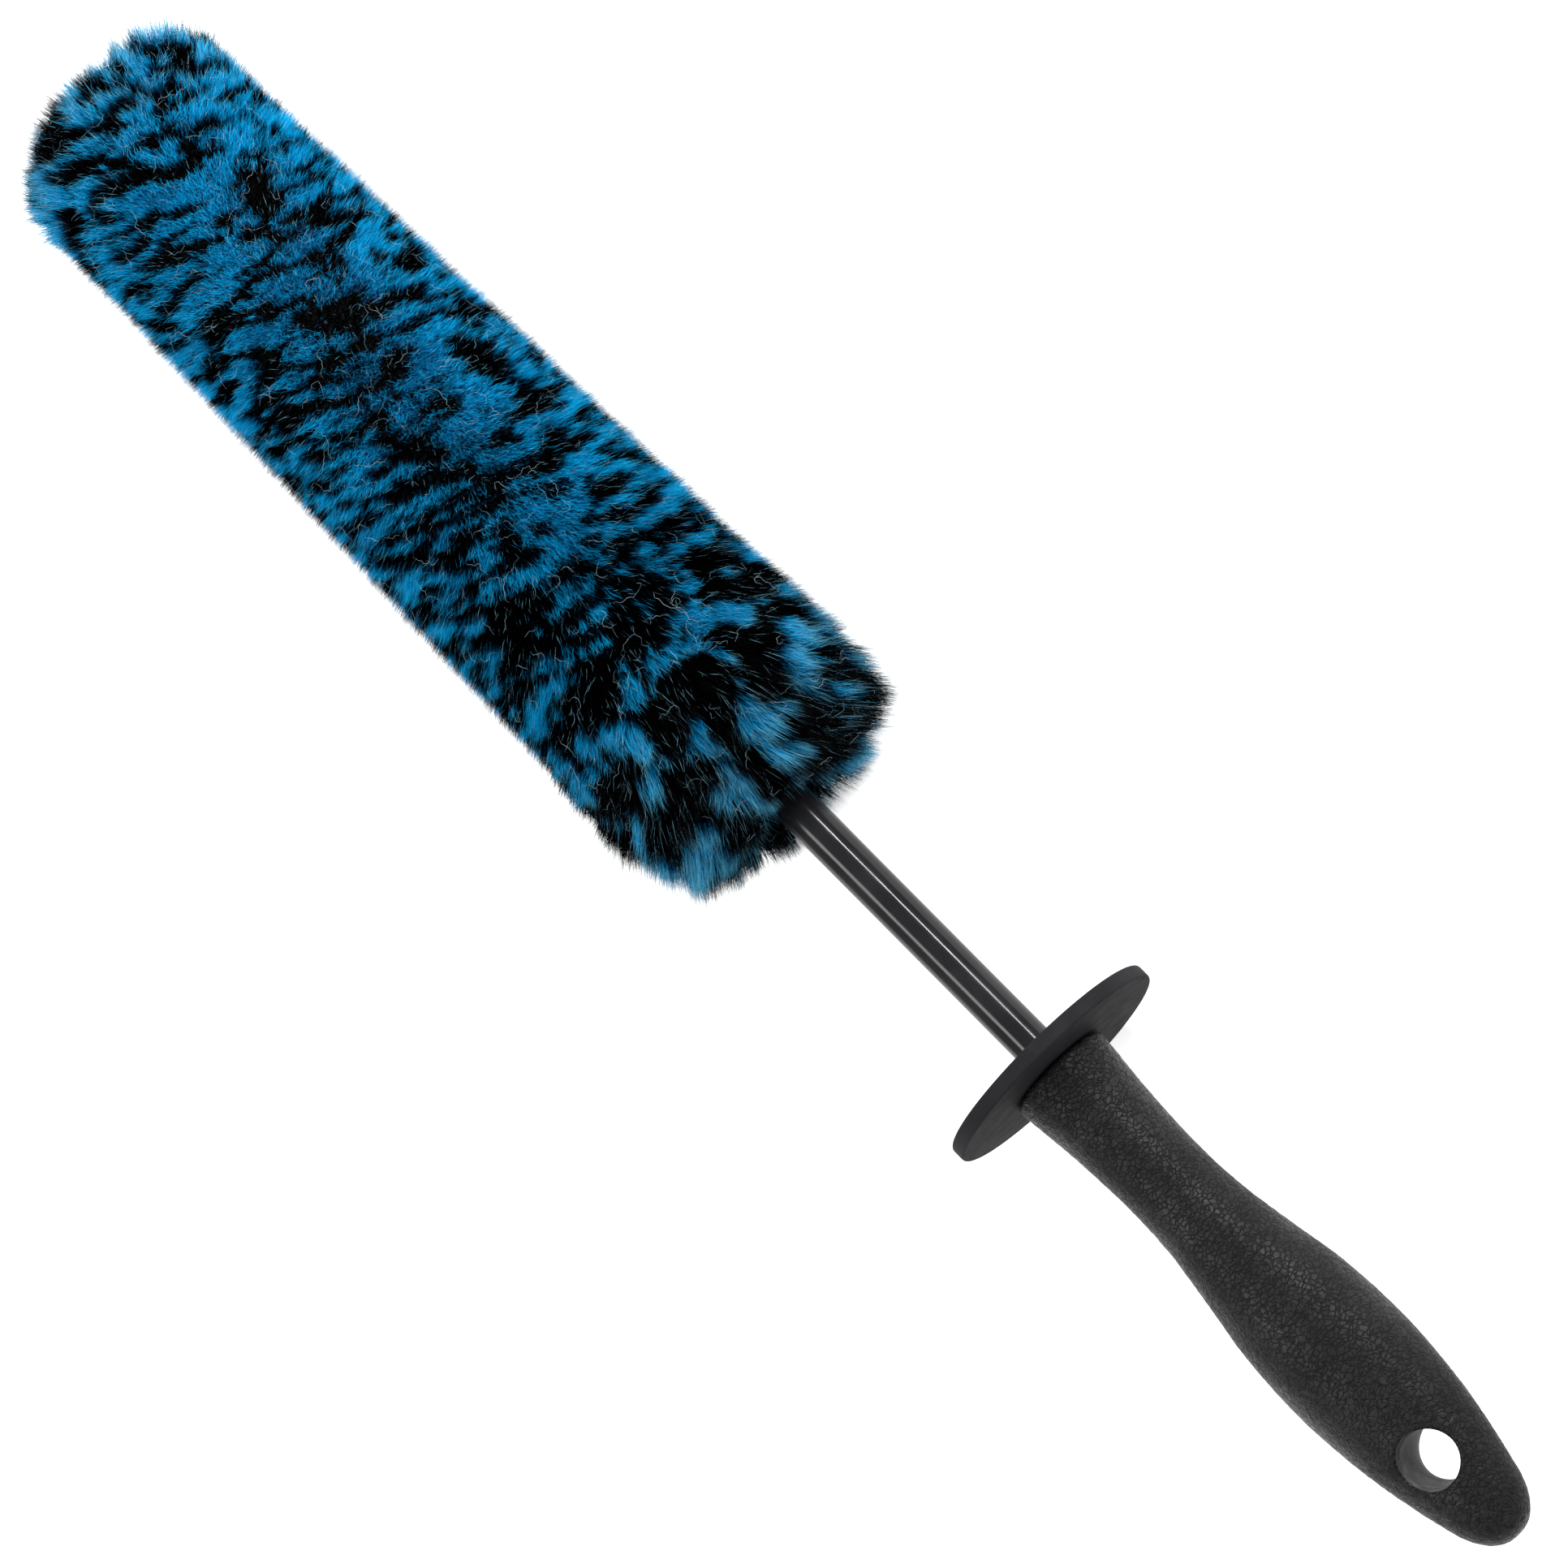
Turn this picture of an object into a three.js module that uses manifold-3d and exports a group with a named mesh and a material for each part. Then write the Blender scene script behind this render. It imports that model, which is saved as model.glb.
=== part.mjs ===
// Wheel brush: a plush pile head on a round rod, a sliding hand guard, and a soft-skinned handle.
// Millimetres, +Z up. The brush lies along X, tip at -X and handle at +X. It rests on the guard's rim
// and on the underside of the pile, which is pressed flat where it touches the surface at Z = 0.
import * as THREE from 'three';
import { mergeVertices } from 'three/addons/utils/BufferGeometryUtils.js';
import Module from 'manifold-3d';

// ---------------------------------------------------------------- driving dimensions
// lengths along the brush
const HEAD_LENGTH = 234.5; // pile tip to the crest of the ruff at its base
const SHAFT_SHOWING = 77.1; // bare rod between the ruff and the guard
const HANDLE_LENGTH = 139.5;
// rod
const ROD_D = 9.7;
const ROD_CHAMFER = 0.8;
const ROD_IN_HANDLE = 72;
const ROD_GROOVES = 3; // ring grooves that lock the rod into the moulded handle
const ROD_GROOVE_DEPTH = 0.9;
const ROD_GROOVE_WIDTH = 4;
const ROD_GROOVE_PITCH = 10;
// pile
const PILE_TIP_R = 28.4; // outside of the pile just behind the rounded tip
const PILE_BASE_R = 34; // outside of the pile just before the ruff
const PILE_TIP_ROUND = 15; // length of the rounded tip
const PILE_RUFF_ROUND = 31.5; // length over which the base rounds over into the ruff
const RUFF_CREST_R = 19; // radius of the ruff's foremost ring
const DIMPLE_DEPTH = 9.5; // how far the pile sinks in round the rod
const ROUND_POWER = 2.6; // fullness of the rounded ends
// stuffing and cloth under the pile
const SPOOL_WALL = 3.35; // wall of the spool's tube round the rod
const FOAM_T = 4.2;
const CLOTH_T = 0.8;
const TIP_PILE_DEPTH = 11.2; // pile in front of the gathered cloth
const NOSE_DEPTH = 7.7; // length of the bumper's dome
const NECK_CONE = 6; // length over which the cloth is drawn in to the rod
const NECK_LENGTH = 8;
const CONE_END_WALL = 1.35; // wall left at the end of the spool's cone
const BUMPER_WALL = 3; // rubber in front of the rod's end
const SPOOL_FLANGE_T = 3;
const TIE_R = 0.8; // half the thickness of the base cord
const TIE_TURNS = 3;
const TIP_TIE_RING_R = 4;
const TIP_TIE_R = 0.7;
const THREAD_R = 0.35;
const STITCH_WIDTH = 3.2;
const STITCH_PITCH = 8;
// cross pins
const PIN_D = 3;
const PIN_INSET = 6; // pin axis from the inner face of its flange
// guard
const GUARD_D = 56.6;
const GUARD_T = 3.6;
const GUARD_EDGE = 0.6;
// handle: half width and half thickness at stations from the mouth to the end
const MOUTH_FLARE = 2.25; // mouth over waist
const MOUTH_EDGE = 1.2;
const WAIST_SKIN = 2.45; // soft skin over the socket barrel at the waist
const WAIST_SHARE = 0.23; // share of the handle's length
const BELLY_HALF_W = 15.85;
const BELLY_HALF_T = 13.4;
const BELLY_SHARE = 0.645;
const NOSE_FROM_END = 10.5; // where the rounded end starts
const END_HALF_W = 7.4;
const END_HALF_T = 6.4;
const GRIP_WALL = 2.6; // soft skin over the hard insert
const BARREL_WALL = 2.25; // socket of the insert round the rod
const BARREL_FLOOR = 4;
const WEB_T = 5; // longitudinal webs of the insert
const RING_T = 3; // cross rings of the insert
const RING_STATIONS = [0.18, 0.42, 0.6, 0.73]; // shares of the handle's length
const EYE_FROM_END = 23.8;
const EYE_R = 6.2; // hanging hole at its parting line
const EYE_DRAFT = 0.07; // widening per millimetre towards both faces
const EYE_BOSS_WALL = 3.4;
// gaps
const GAP = 0.3; // between pieces that touch in the real brush
const SLIDE_GAP = 0.1; // guard bore round the rod
const PIN_GAP = 0.2;

// ---------------------------------------------------------------- places along the brush
const ROUND = 40; // facets round most pieces
const rodR = ROD_D / 2;
const boreR = rodR + GAP;
const spoolTubeR = boreR + SPOOL_WALL;
const formR = spoolTubeR + GAP + FOAM_T; // foam, spool flanges and tip bumper share this radius
const barrelR = boreR + BARREL_WALL;
const waistR = barrelR + GAP + WAIST_SKIN;
const mouthR = waistR + MOUTH_FLARE;
const eyeBossR = EYE_R + EYE_BOSS_WALL;
const clothTipX = TIP_PILE_DEPTH + 2 * TIP_TIE_R + 2 * GAP; // outside of the cloth at the tip
const formTipX = clothTipX + CLOTH_T + GAP;
const tipFlangeX = formTipX + NOSE_DEPTH + GAP;
const rodTipX = formTipX + BUMPER_WALL;
const neckEndX = HEAD_LENGTH - DIMPLE_DEPTH + 2;
const coneEndX = neckEndX - NECK_LENGTH;
const coneStartX = coneEndX - NECK_CONE;
const guardX = HEAD_LENGTH + SHAFT_SHOWING;
const mouthX = guardX + GUARD_T + GAP;
const overall = mouthX + HANDLE_LENGTH;
const eyeX = HANDLE_LENGTH - EYE_FROM_END;
const axisZ = GUARD_D / 2;

// ---------------------------------------------------------------- solids
const wasm = await Module();
wasm.setup();

function cleaned(geometry) {
  for (const name of ['normal', 'uv']) geometry.deleteAttribute(name);
  const merged = mergeVertices(geometry, 1e-5);
  const corners = merged.index.array;
  const kept = [];
  for (let i = 0; i < corners.length; i += 3) {
    const [a, b, c] = [corners[i], corners[i + 1], corners[i + 2]];
    if (a !== b && b !== c && c !== a) kept.push(a, b, c);
  }
  merged.setIndex(kept);
  if (enclosedVolume(merged) < 0) {
    for (let i = 0; i < kept.length; i += 3) [kept[i], kept[i + 1]] = [kept[i + 1], kept[i]];
    merged.setIndex(kept);
  }
  return merged;
}

function enclosedVolume(geometry) {
  const place = geometry.attributes.position;
  const corners = geometry.index.array;
  const [a, b, c] = [new THREE.Vector3(), new THREE.Vector3(), new THREE.Vector3()];
  let volume = 0;
  for (let i = 0; i < corners.length; i += 3) {
    a.fromBufferAttribute(place, corners[i]);
    b.fromBufferAttribute(place, corners[i + 1]);
    c.fromBufferAttribute(place, corners[i + 2]);
    volume += a.dot(b.cross(c)) / 6;
  }
  return volume;
}

function solid(geometry) {
  const closed = cleaned(geometry);
  return new wasm.Manifold(
    new wasm.Mesh({
      numProp: 3,
      vertProperties: new Float32Array(closed.attributes.position.array),
      triVerts: new Uint32Array(closed.index.array),
    }),
  );
}

function geometryOf(manifold) {
  const mesh = manifold.getMesh();
  const geometry = new THREE.BufferGeometry();
  geometry.setAttribute('position', new THREE.BufferAttribute(new Float32Array(mesh.vertProperties), 3));
  geometry.setIndex(Array.from(mesh.triVerts));
  geometry.computeVertexNormals();
  return geometry;
}

// A turned piece: points are [distance along the brush, radius], closed on themselves or on the axis.
function turned(points, facets = ROUND) {
  const outline = points.map(([x, r]) => new THREE.Vector2(r, x));
  const onAxis = points[0][1] === 0 && points.at(-1)[1] === 0;
  if (!onAxis) outline.push(outline[0].clone());
  return new THREE.LatheGeometry(outline, facets).rotateZ(-Math.PI / 2);
}

// Points of a full quarter curve from [x0, r0], where it runs along x, to [x1, r1], where it runs along r.
function quarter([x0, r0], [x1, r1], steps, power = 2) {
  const points = [];
  for (let i = 0; i <= steps; i += 1) {
    const angle = (i / steps) * (Math.PI / 2);
    const along = Math.sin(angle) ** (2 / power);
    const across = Math.cos(angle) ** (2 / power);
    points.push([x0 + (x1 - x0) * along, r1 + (r0 - r1) * across]);
  }
  return points;
}

function barAlongY(radius, length, x, facets = 24) {
  return new THREE.CylinderGeometry(radius, radius, length, facets).translate(x, 0, 0);
}

function boxOf([x0, x1], [y0, y1], [z0, z1]) {
  const box = new THREE.BoxGeometry(x1 - x0, y1 - y0, z1 - z0);
  return box.translate((x0 + x1) / 2, (y0 + y1) / 2, (z0 + z1) / 2);
}

// A closed skin over rings of points that all have the same count.
function loft(rings) {
  const count = rings[0].length;
  const place = rings.flat().flatMap((p) => [p.x, p.y, p.z]);
  const corners = [];
  for (let i = 0; i + 1 < rings.length; i += 1) {
    for (let j = 0; j < count; j += 1) {
      const [a, b] = [i * count + j, i * count + ((j + 1) % count)];
      corners.push(a, b, b + count, a, b + count, a + count);
    }
  }
  for (const [first, turn] of [[0, 1], [(rings.length - 1) * count, 0]]) {
    const ring = rings[first / count];
    const middle = ring.reduce((sum, p) => sum.add(p), new THREE.Vector3()).divideScalar(count);
    const hub = place.length / 3;
    place.push(middle.x, middle.y, middle.z);
    for (let j = 0; j < count; j += 1) {
      const [a, b] = [first + j, first + ((j + 1) % count)];
      corners.push(hub, turn ? b : a, turn ? a : b);
    }
  }
  const geometry = new THREE.BufferGeometry();
  geometry.setAttribute('position', new THREE.Float32BufferAttribute(place, 3));
  geometry.setIndex(corners);
  return geometry;
}

// ---------------------------------------------------------------- head
// Outline of the stuffed form grown by a distance: dome at the tip, straight side, cone down to the neck.
function formOutline(grow, domeSteps = 8) {
  const drop = formR - rodR;
  const slant = Math.hypot(drop, NECK_CONE);
  const shift = grow * (drop / slant - ((1 - NECK_CONE / slant) * NECK_CONE) / drop);
  const dome = quarter([tipFlangeX, formR + grow], [formTipX - grow, 0], domeSteps, 2.3).reverse();
  return [...dome, [coneStartX + shift, formR + grow], [coneEndX + shift, rodR + grow]];
}

function pileCover() {
  const tip = quarter([PILE_TIP_ROUND, PILE_TIP_R], [0, 0], 14, ROUND_POWER).reverse();
  const ruffX = HEAD_LENGTH - PILE_RUFF_ROUND;
  const ruff = quarter([ruffX, PILE_BASE_R], [HEAD_LENGTH, RUFF_CREST_R], 12, ROUND_POWER);
  const neckR = rodR + 2 * GAP + CLOTH_T + 2 * TIE_R + GAP;
  const dimple = quarter([HEAD_LENGTH - DIMPLE_DEPTH, neckR], [HEAD_LENGTH, RUFF_CREST_R], 8).reverse();
  const clothOut = GAP + CLOTH_T;
  const cavity = formOutline(clothOut + GAP).slice(1);
  const [coneTop, coneFoot] = cavity.splice(-2);
  const lean = (coneFoot[0] - coneTop[0]) / (coneTop[1] - coneFoot[1]);
  const neckX = coneTop[0] + (coneTop[1] - neckR) * lean;
  const face = TIP_TIE_RING_R + TIP_TIE_R + GAP;
  const front = cavity.filter(([, r]) => r > face);
  const outline = [
    ...tip,
    ...ruff,
    ...dimple.slice(1),
    [neckX, neckR],
    coneTop,
    ...front.reverse(),
    [TIP_PILE_DEPTH, face],
    [TIP_PILE_DEPTH, 0],
  ];
  const seamR = formR + clothOut;
  const seamRoom = boxOf(
    [tipFlangeX, coneStartX],
    [-(STITCH_WIDTH / 2 + 2 * THREAD_R + GAP), STITCH_WIDTH / 2 + 2 * THREAD_R + GAP],
    [-(seamR + 2 * GAP + 3 * THREAD_R), -seamR + 1],
  );
  const surface = boxOf([-1, overall], [-PILE_BASE_R - 1, PILE_BASE_R + 1], [-PILE_BASE_R * 2, -axisZ]);
  return geometryOf(solid(turned(outline)).subtract(solid(seamRoom)).subtract(solid(surface)));
}

function backingCloth() {
  const outside = formOutline(GAP + CLOTH_T);
  const inside = formOutline(GAP);
  const neck = [[neckEndX, boreR + CLOTH_T], [neckEndX, boreR]];
  return turned([...outside, ...neck, ...inside.reverse()]);
}

// Zigzag stitching along the underside of the cloth.
class SeamCurve extends THREE.Curve {
  getPoint(t, target = new THREE.Vector3()) {
    const ends = 2 * GAP + THREAD_R;
    const [from, to] = [tipFlangeX + ends, coneStartX - ends];
    const x = from + (to - from) * t;
    const stitches = Math.round((to - from) / STITCH_PITCH);
    const y = (STITCH_WIDTH / 2) * Math.sin(t * stitches * Math.PI * 2);
    const r = formR + CLOTH_T + 2 * GAP + THREAD_R;
    return target.set(x, y, -Math.sqrt(r * r - y * y));
  }
}

function seamThread() {
  const path = new SeamCurve();
  const section = new THREE.Shape();
  section.absarc(0, 0, THREAD_R, 0, Math.PI * 2);
  const steps = Math.round((coneStartX - tipFlangeX) / STITCH_PITCH) * 5;
  const sweep = { steps, curveSegments: 3, bevelEnabled: false, extrudePath: path };
  return new THREE.ExtrudeGeometry(section, sweep);
}

function tipTie() {
  return new THREE.TorusGeometry(TIP_TIE_RING_R, TIP_TIE_R, 8, 32).rotateY(Math.PI / 2);
}

// A cord wound in touching turns, as one ring with a bulge for each turn.
function baseTie() {
  const insideR = rodR + 2 * GAP + CLOTH_T;
  const outline = [[0, insideR]];
  for (let turn = 0; turn < TIE_TURNS; turn += 1) {
    for (let i = 0; i <= 4; i += 1) {
      const angle = Math.PI * (1 - i / 4);
      outline.push([
        (2 * turn + 1 + Math.cos(angle)) * TIE_R,
        insideR + TIE_R * (1 + 0.9 * Math.sin(angle)),
      ]);
    }
  }
  outline.push([2 * TIE_TURNS * TIE_R, insideR]);
  return turned(outline, 32);
}

function foamSleeve() {
  const from = tipFlangeX + SPOOL_FLANGE_T + GAP;
  const to = coneStartX - SPOOL_FLANGE_T - GAP;
  const insideR = spoolTubeR + GAP;
  return turned([[from, insideR], [from, formR], [to, formR], [to, insideR]]);
}

const pinXs = [tipFlangeX + SPOOL_FLANGE_T + PIN_INSET, coneStartX - SPOOL_FLANGE_T - PIN_INSET];

function headCore() {
  const coneEndR = boreR + CONE_END_WALL;
  const coneEnd = coneStartX + (NECK_CONE * (formR - coneEndR)) / (formR - rodR);
  const spool = turned([
    [tipFlangeX, boreR],
    [tipFlangeX, formR],
    [tipFlangeX + SPOOL_FLANGE_T, formR],
    [tipFlangeX + SPOOL_FLANGE_T, spoolTubeR],
    [coneStartX - SPOOL_FLANGE_T, spoolTubeR],
    [coneStartX - SPOOL_FLANGE_T, formR],
    [coneStartX, formR],
    [coneEnd, coneEndR],
    [coneEnd, boreR],
  ]);
  return geometryOf(pinXs.reduce((left, x) => left.subtract(pinHole(x)), solid(spool)));
}

function pinHole(x) {
  return solid(barAlongY(PIN_D / 2 + PIN_GAP, 4 * formR, x));
}

function corePin(x) {
  return barAlongY(PIN_D / 2, 2 * (spoolTubeR - PIN_GAP), x);
}

// Soft nose with a blind socket over the rod's end.
function tipBumper() {
  const dome = quarter([tipFlangeX - GAP, formR], [formTipX, 0], 8, 2.3).reverse();
  return turned([...dome, [tipFlangeX - GAP, boreR], [rodTipX - GAP, boreR], [rodTipX - GAP, 0]]);
}

// ---------------------------------------------------------------- rod and guard
function shaftRod() {
  const end = mouthX + ROD_IN_HANDLE;
  const outline = [
    [rodTipX, 0],
    [rodTipX, rodR - ROD_CHAMFER],
    [rodTipX + ROD_CHAMFER, rodR],
    ...rodGrooves(0),
    [end - ROD_CHAMFER, rodR],
    [end, rodR - ROD_CHAMFER],
    [end, 0],
  ];
  return geometryOf(pinXs.reduce((left, x) => left.subtract(pinHole(x)), solid(turned(outline))));
}

// Ring grooves at the rod's handle end; a gap gives the matching wall of the socket.
function rodGrooves(gap) {
  const points = [];
  const last = mouthX + ROD_IN_HANDLE - ROD_CHAMFER - ROD_GROOVE_WIDTH;
  for (let i = ROD_GROOVES; i > 0; i -= 1) {
    const from = last - i * ROD_GROOVE_PITCH + gap;
    const to = from + ROD_GROOVE_WIDTH - 2 * gap;
    points.push(
      [from, rodR + gap],
      [from, rodR + gap - ROD_GROOVE_DEPTH],
      [to, rodR + gap - ROD_GROOVE_DEPTH],
      [to, rodR + gap],
    );
  }
  return points;
}

function guardDisc() {
  const [r, t, e] = [GUARD_D / 2, GUARD_T, GUARD_EDGE];
  const rim = [...quarter([e, r], [0, r - e], 3).reverse(), ...quarter([t - e, r], [t, r - e], 3)];
  return turned([[0, rodR + SLIDE_GAP], ...rim, [t, rodR + SLIDE_GAP]], 80);
}

// ---------------------------------------------------------------- handle
// One stretch of the handle: shares of the way from one station to the next, along and outwards.
function stretch([x0, w0, t0], [x1, w1, t1], shares) {
  return shares.map(([along, wide, thick]) => [
    x0 + (x1 - x0) * along,
    w0 + (w1 - w0) * wide,
    t0 + (t1 - t0) * thick,
  ]);
}

// Stations of the handle: [distance from the mouth, half width, half thickness].
const mouth = [0, mouthR, mouthR];
const waist = [WAIST_SHARE * HANDLE_LENGTH, waistR, waistR];
const belly = [BELLY_SHARE * HANDLE_LENGTH, BELLY_HALF_W, BELLY_HALF_T];
const tail = [HANDLE_LENGTH, END_HALF_W, END_HALF_T];
const stations = [
  mouth,
  ...stretch(mouth, waist, [[0.18, 0.25, 0.25], [0.5, 0.68, 0.68]]),
  waist,
  ...stretch(waist, belly, [[0.22, 0.09, 0.12], [0.45, 0.43, 0.5], [0.7, 0.85, 0.9]]),
  belly,
  ...stretch(belly, tail, [[0.32, 0.12, 0.4], [0.59, 0.39, 0.67]]),
  tail,
];
const handlePoints = stations.map((station) => new THREE.Vector3(...station));
const handleCurve = new THREE.CatmullRomCurve3(handlePoints, false, 'centripetal');

// Half width and half thickness at a distance from the mouth.
function handleAt(x) {
  let [low, high] = [0, 1];
  for (let i = 0; i < 30; i += 1) {
    const middle = (low + high) / 2;
    if (handleCurve.getPoint(middle).x < x) low = middle;
    else high = middle;
  }
  const { y: halfWidth, z: halfThickness } = handleCurve.getPoint(low);
  return [halfWidth, halfThickness];
}

function ellipseRing(x, halfWidth, halfThickness, facets = ROUND) {
  const ring = [];
  for (let i = 0; i < facets; i += 1) {
    const angle = (i / facets) * Math.PI * 2;
    ring.push(new THREE.Vector3(x, halfWidth * Math.cos(angle), halfThickness * Math.sin(angle)));
  }
  return ring;
}

// The handle's outer shape, taken in all round by an inset.
function handleForm(inset, steps, facets = ROUND) {
  const rings = [];
  const noseX = HANDLE_LENGTH - NOSE_FROM_END;
  if (inset === 0) {
    for (const [x, r] of quarter([MOUTH_EDGE, 0], [0, -MOUTH_EDGE], 4).reverse()) {
      const [w, t] = handleAt(Math.max(x, 0));
      rings.push(ellipseRing(x, w + r, t + r, facets));
    }
  } else {
    const [w, t] = handleAt(0);
    rings.push(ellipseRing(0, w - inset, t - inset, facets));
  }
  const first = inset === 0 ? MOUTH_EDGE : 0;
  for (let i = 1; i <= steps; i += 1) {
    const x = first + ((noseX - first) * i) / steps;
    const [w, t] = handleAt(x);
    rings.push(ellipseRing(x, w - inset, t - inset, facets));
  }
  for (const [x, share] of quarter([noseX, 1], [HANDLE_LENGTH - inset, 0], 9, 2.5).slice(1, -1)) {
    const [w, t] = handleAt(x);
    rings.push(ellipseRing(x, (w - inset) * share, (t - inset) * share, facets));
  }
  rings.push(ellipseRing(HANDLE_LENGTH - inset, 0.4, 0.3, facets));
  return loft(rings);
}

// Ribbed insert: socket barrel, two crossing webs, cross rings and the boss of the hanging eye.
// Grown by a gap, it gives the hollow of the skin that is moulded over it.
function insertBody(gap) {
  const barrelEnd = ROD_IN_HANDLE + BARREL_FLOOR + gap;
  const webEnd = eyeX - eyeBossR / 2;
  const wide = BELLY_HALF_W + BELLY_HALF_T;
  const half = WEB_T / 2 + gap;
  const barrel = turned([[-1, 0], [-1, barrelR + gap], [barrelEnd, barrelR + gap], [barrelEnd, 0]]);
  const bossR = eyeBossR + gap;
  const boss = new THREE.CylinderGeometry(bossR, bossR, wide, ROUND);
  boss.rotateX(Math.PI / 2).translate(eyeX, 0, 0);
  const ribs = [
    boxOf([RING_T - gap, webEnd + gap], [-wide, wide], [-half, half]),
    boxOf([RING_T - gap, webEnd + gap], [-half, half], [-wide, wide]),
    boss,
  ];
  for (const share of RING_STATIONS) {
    const x = share * HANDLE_LENGTH;
    ribs.push(boxOf([x - RING_T / 2 - gap, x + RING_T / 2 + gap], [-wide, wide], [-wide, wide]));
  }
  const inside = solid(handleForm(GRIP_WALL - gap, 12, 28));
  const ribbed = ribs.map(solid).reduce((sum, piece) => sum.add(piece)).intersect(inside);
  return ribbed.add(solid(barrel)).subtract(solid(boxOf([-2, 0], [-wide, wide], [-wide, wide])));
}

// The hanging hole widens from its parting line towards both faces.
function hangingHole() {
  const reach = BELLY_HALF_T;
  const wide = EYE_R + EYE_DRAFT * reach;
  const outline = [[-reach, 0], [-reach, wide], [0, EYE_R], [reach, wide], [reach, 0]];
  return solid(turned(outline, 40).rotateY(Math.PI / 2).translate(eyeX, 0, 0));
}

function rodSocket() {
  const end = mouthX + ROD_IN_HANDLE + GAP;
  const outline = [[mouthX - 2, 0], [mouthX - 2, boreR], ...rodGrooves(GAP), [end, boreR], [end, 0]];
  return solid(turned(outline).translate(-mouthX, 0, 0));
}

function handleCore() {
  return geometryOf(insertBody(0).subtract(rodSocket()).subtract(hangingHole()));
}

function handleGrip() {
  return geometryOf(solid(handleForm(0, 30)).subtract(insertBody(GAP)).subtract(hangingHole()));
}

// ---------------------------------------------------------------- assembly
function finish(color, roughness, metalness = 0) {
  return new THREE.MeshStandardMaterial({ color, roughness, metalness });
}

const bluePile = finish(0x067aab, 0.95);
const blackGloss = finish(0x2c2c30, 0.22);
const guardBlack = finish(0x3d3c3d, 0.42);
const gripBlack = finish(0x2f2e30, 0.68);
const insertBlack = finish(0x3c3c3e, 0.35);
const spoolGrey = finish(0x4a4c50, 0.45);
const foamGrey = finish(0x8c8f94, 0.95);
const bumperBlack = finish(0x242426, 0.7);
const clothBlue = finish(0x0a3f5f, 0.9);
const threadBlack = finish(0x18191b, 0.8);
const pinSteel = finish(0x9a9da2, 0.3, 0.9);

const brush = new THREE.Group();
brush.position.set(-overall / 2, 0, axisZ);

function place(group, name, geometry, material, x = 0) {
  const mesh = new THREE.Mesh(geometry, material);
  mesh.name = name;
  mesh.position.x = x;
  group.add(mesh);
}

const head = new THREE.Group();
brush.add(head);
place(head, 'pile_cover', pileCover(), bluePile);
place(head, 'backing_cloth', backingCloth(), clothBlue);
place(head, 'seam_thread', seamThread(), threadBlack);
place(head, 'tip_tie', tipTie(), threadBlack, clothTipX - GAP - TIP_TIE_R);
place(head, 'base_tie', baseTie(), threadBlack, neckEndX - 2 * TIE_R * (TIE_TURNS + 1));
place(head, 'foam_sleeve', foamSleeve(), foamGrey);
place(head, 'tip_bumper', tipBumper(), bumperBlack);
place(head, 'head_core', headCore(), spoolGrey);
place(head, 'core_pin_tip', corePin(pinXs[0]), pinSteel);
place(head, 'core_pin_base', corePin(pinXs[1]), pinSteel);

place(brush, 'shaft_rod', shaftRod(), blackGloss);
place(brush, 'guard_disc', guardDisc(), guardBlack, guardX);

const handle = new THREE.Group();
handle.position.x = mouthX;
brush.add(handle);
place(handle, 'handle_core', handleCore(), insertBlack);
place(handle, 'handle_grip', handleGrip(), gripBlack);

export default brush;
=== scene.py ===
import math

import bpy
import numpy as np
from mathutils import Matrix, Vector, kdtree, noise


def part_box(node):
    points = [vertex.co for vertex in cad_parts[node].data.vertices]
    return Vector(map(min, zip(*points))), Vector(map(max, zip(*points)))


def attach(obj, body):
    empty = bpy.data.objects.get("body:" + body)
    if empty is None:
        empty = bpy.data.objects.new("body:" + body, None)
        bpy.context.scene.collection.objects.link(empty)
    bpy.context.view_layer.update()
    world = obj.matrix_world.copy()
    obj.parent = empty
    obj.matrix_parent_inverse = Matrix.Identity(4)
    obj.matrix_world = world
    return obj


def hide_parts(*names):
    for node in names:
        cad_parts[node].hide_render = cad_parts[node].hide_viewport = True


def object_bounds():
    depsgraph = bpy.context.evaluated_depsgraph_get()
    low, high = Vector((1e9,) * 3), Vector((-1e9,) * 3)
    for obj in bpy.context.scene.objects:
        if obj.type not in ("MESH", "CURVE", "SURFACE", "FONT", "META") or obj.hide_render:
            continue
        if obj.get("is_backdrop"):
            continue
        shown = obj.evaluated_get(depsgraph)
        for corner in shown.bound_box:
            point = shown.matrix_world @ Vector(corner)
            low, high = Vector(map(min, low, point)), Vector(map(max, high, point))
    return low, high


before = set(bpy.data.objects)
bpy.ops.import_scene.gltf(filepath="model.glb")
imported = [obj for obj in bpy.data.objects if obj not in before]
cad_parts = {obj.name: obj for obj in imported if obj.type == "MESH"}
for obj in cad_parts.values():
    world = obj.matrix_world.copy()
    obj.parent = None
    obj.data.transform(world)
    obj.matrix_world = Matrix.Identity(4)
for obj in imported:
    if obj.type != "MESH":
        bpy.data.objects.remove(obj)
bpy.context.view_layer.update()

# ---------------- camera
# Seen almost from above, with the brush running from the upper left to the lower right. A long
# lens from about 1.3 m keeps the head and the handle nearly at one scale.
VIEW_DIRECTION = Vector((0.2241, 0.3173, 0.9215)).normalized()
VIEW_TARGET = Vector((0.0002, 0.0017, 0.0283))
VIEW_DISTANCE = 1.3346
VIEW_ROLL = math.radians(45.18)
LENS_MM = 139.75
SENSOR_MM = 36

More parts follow.
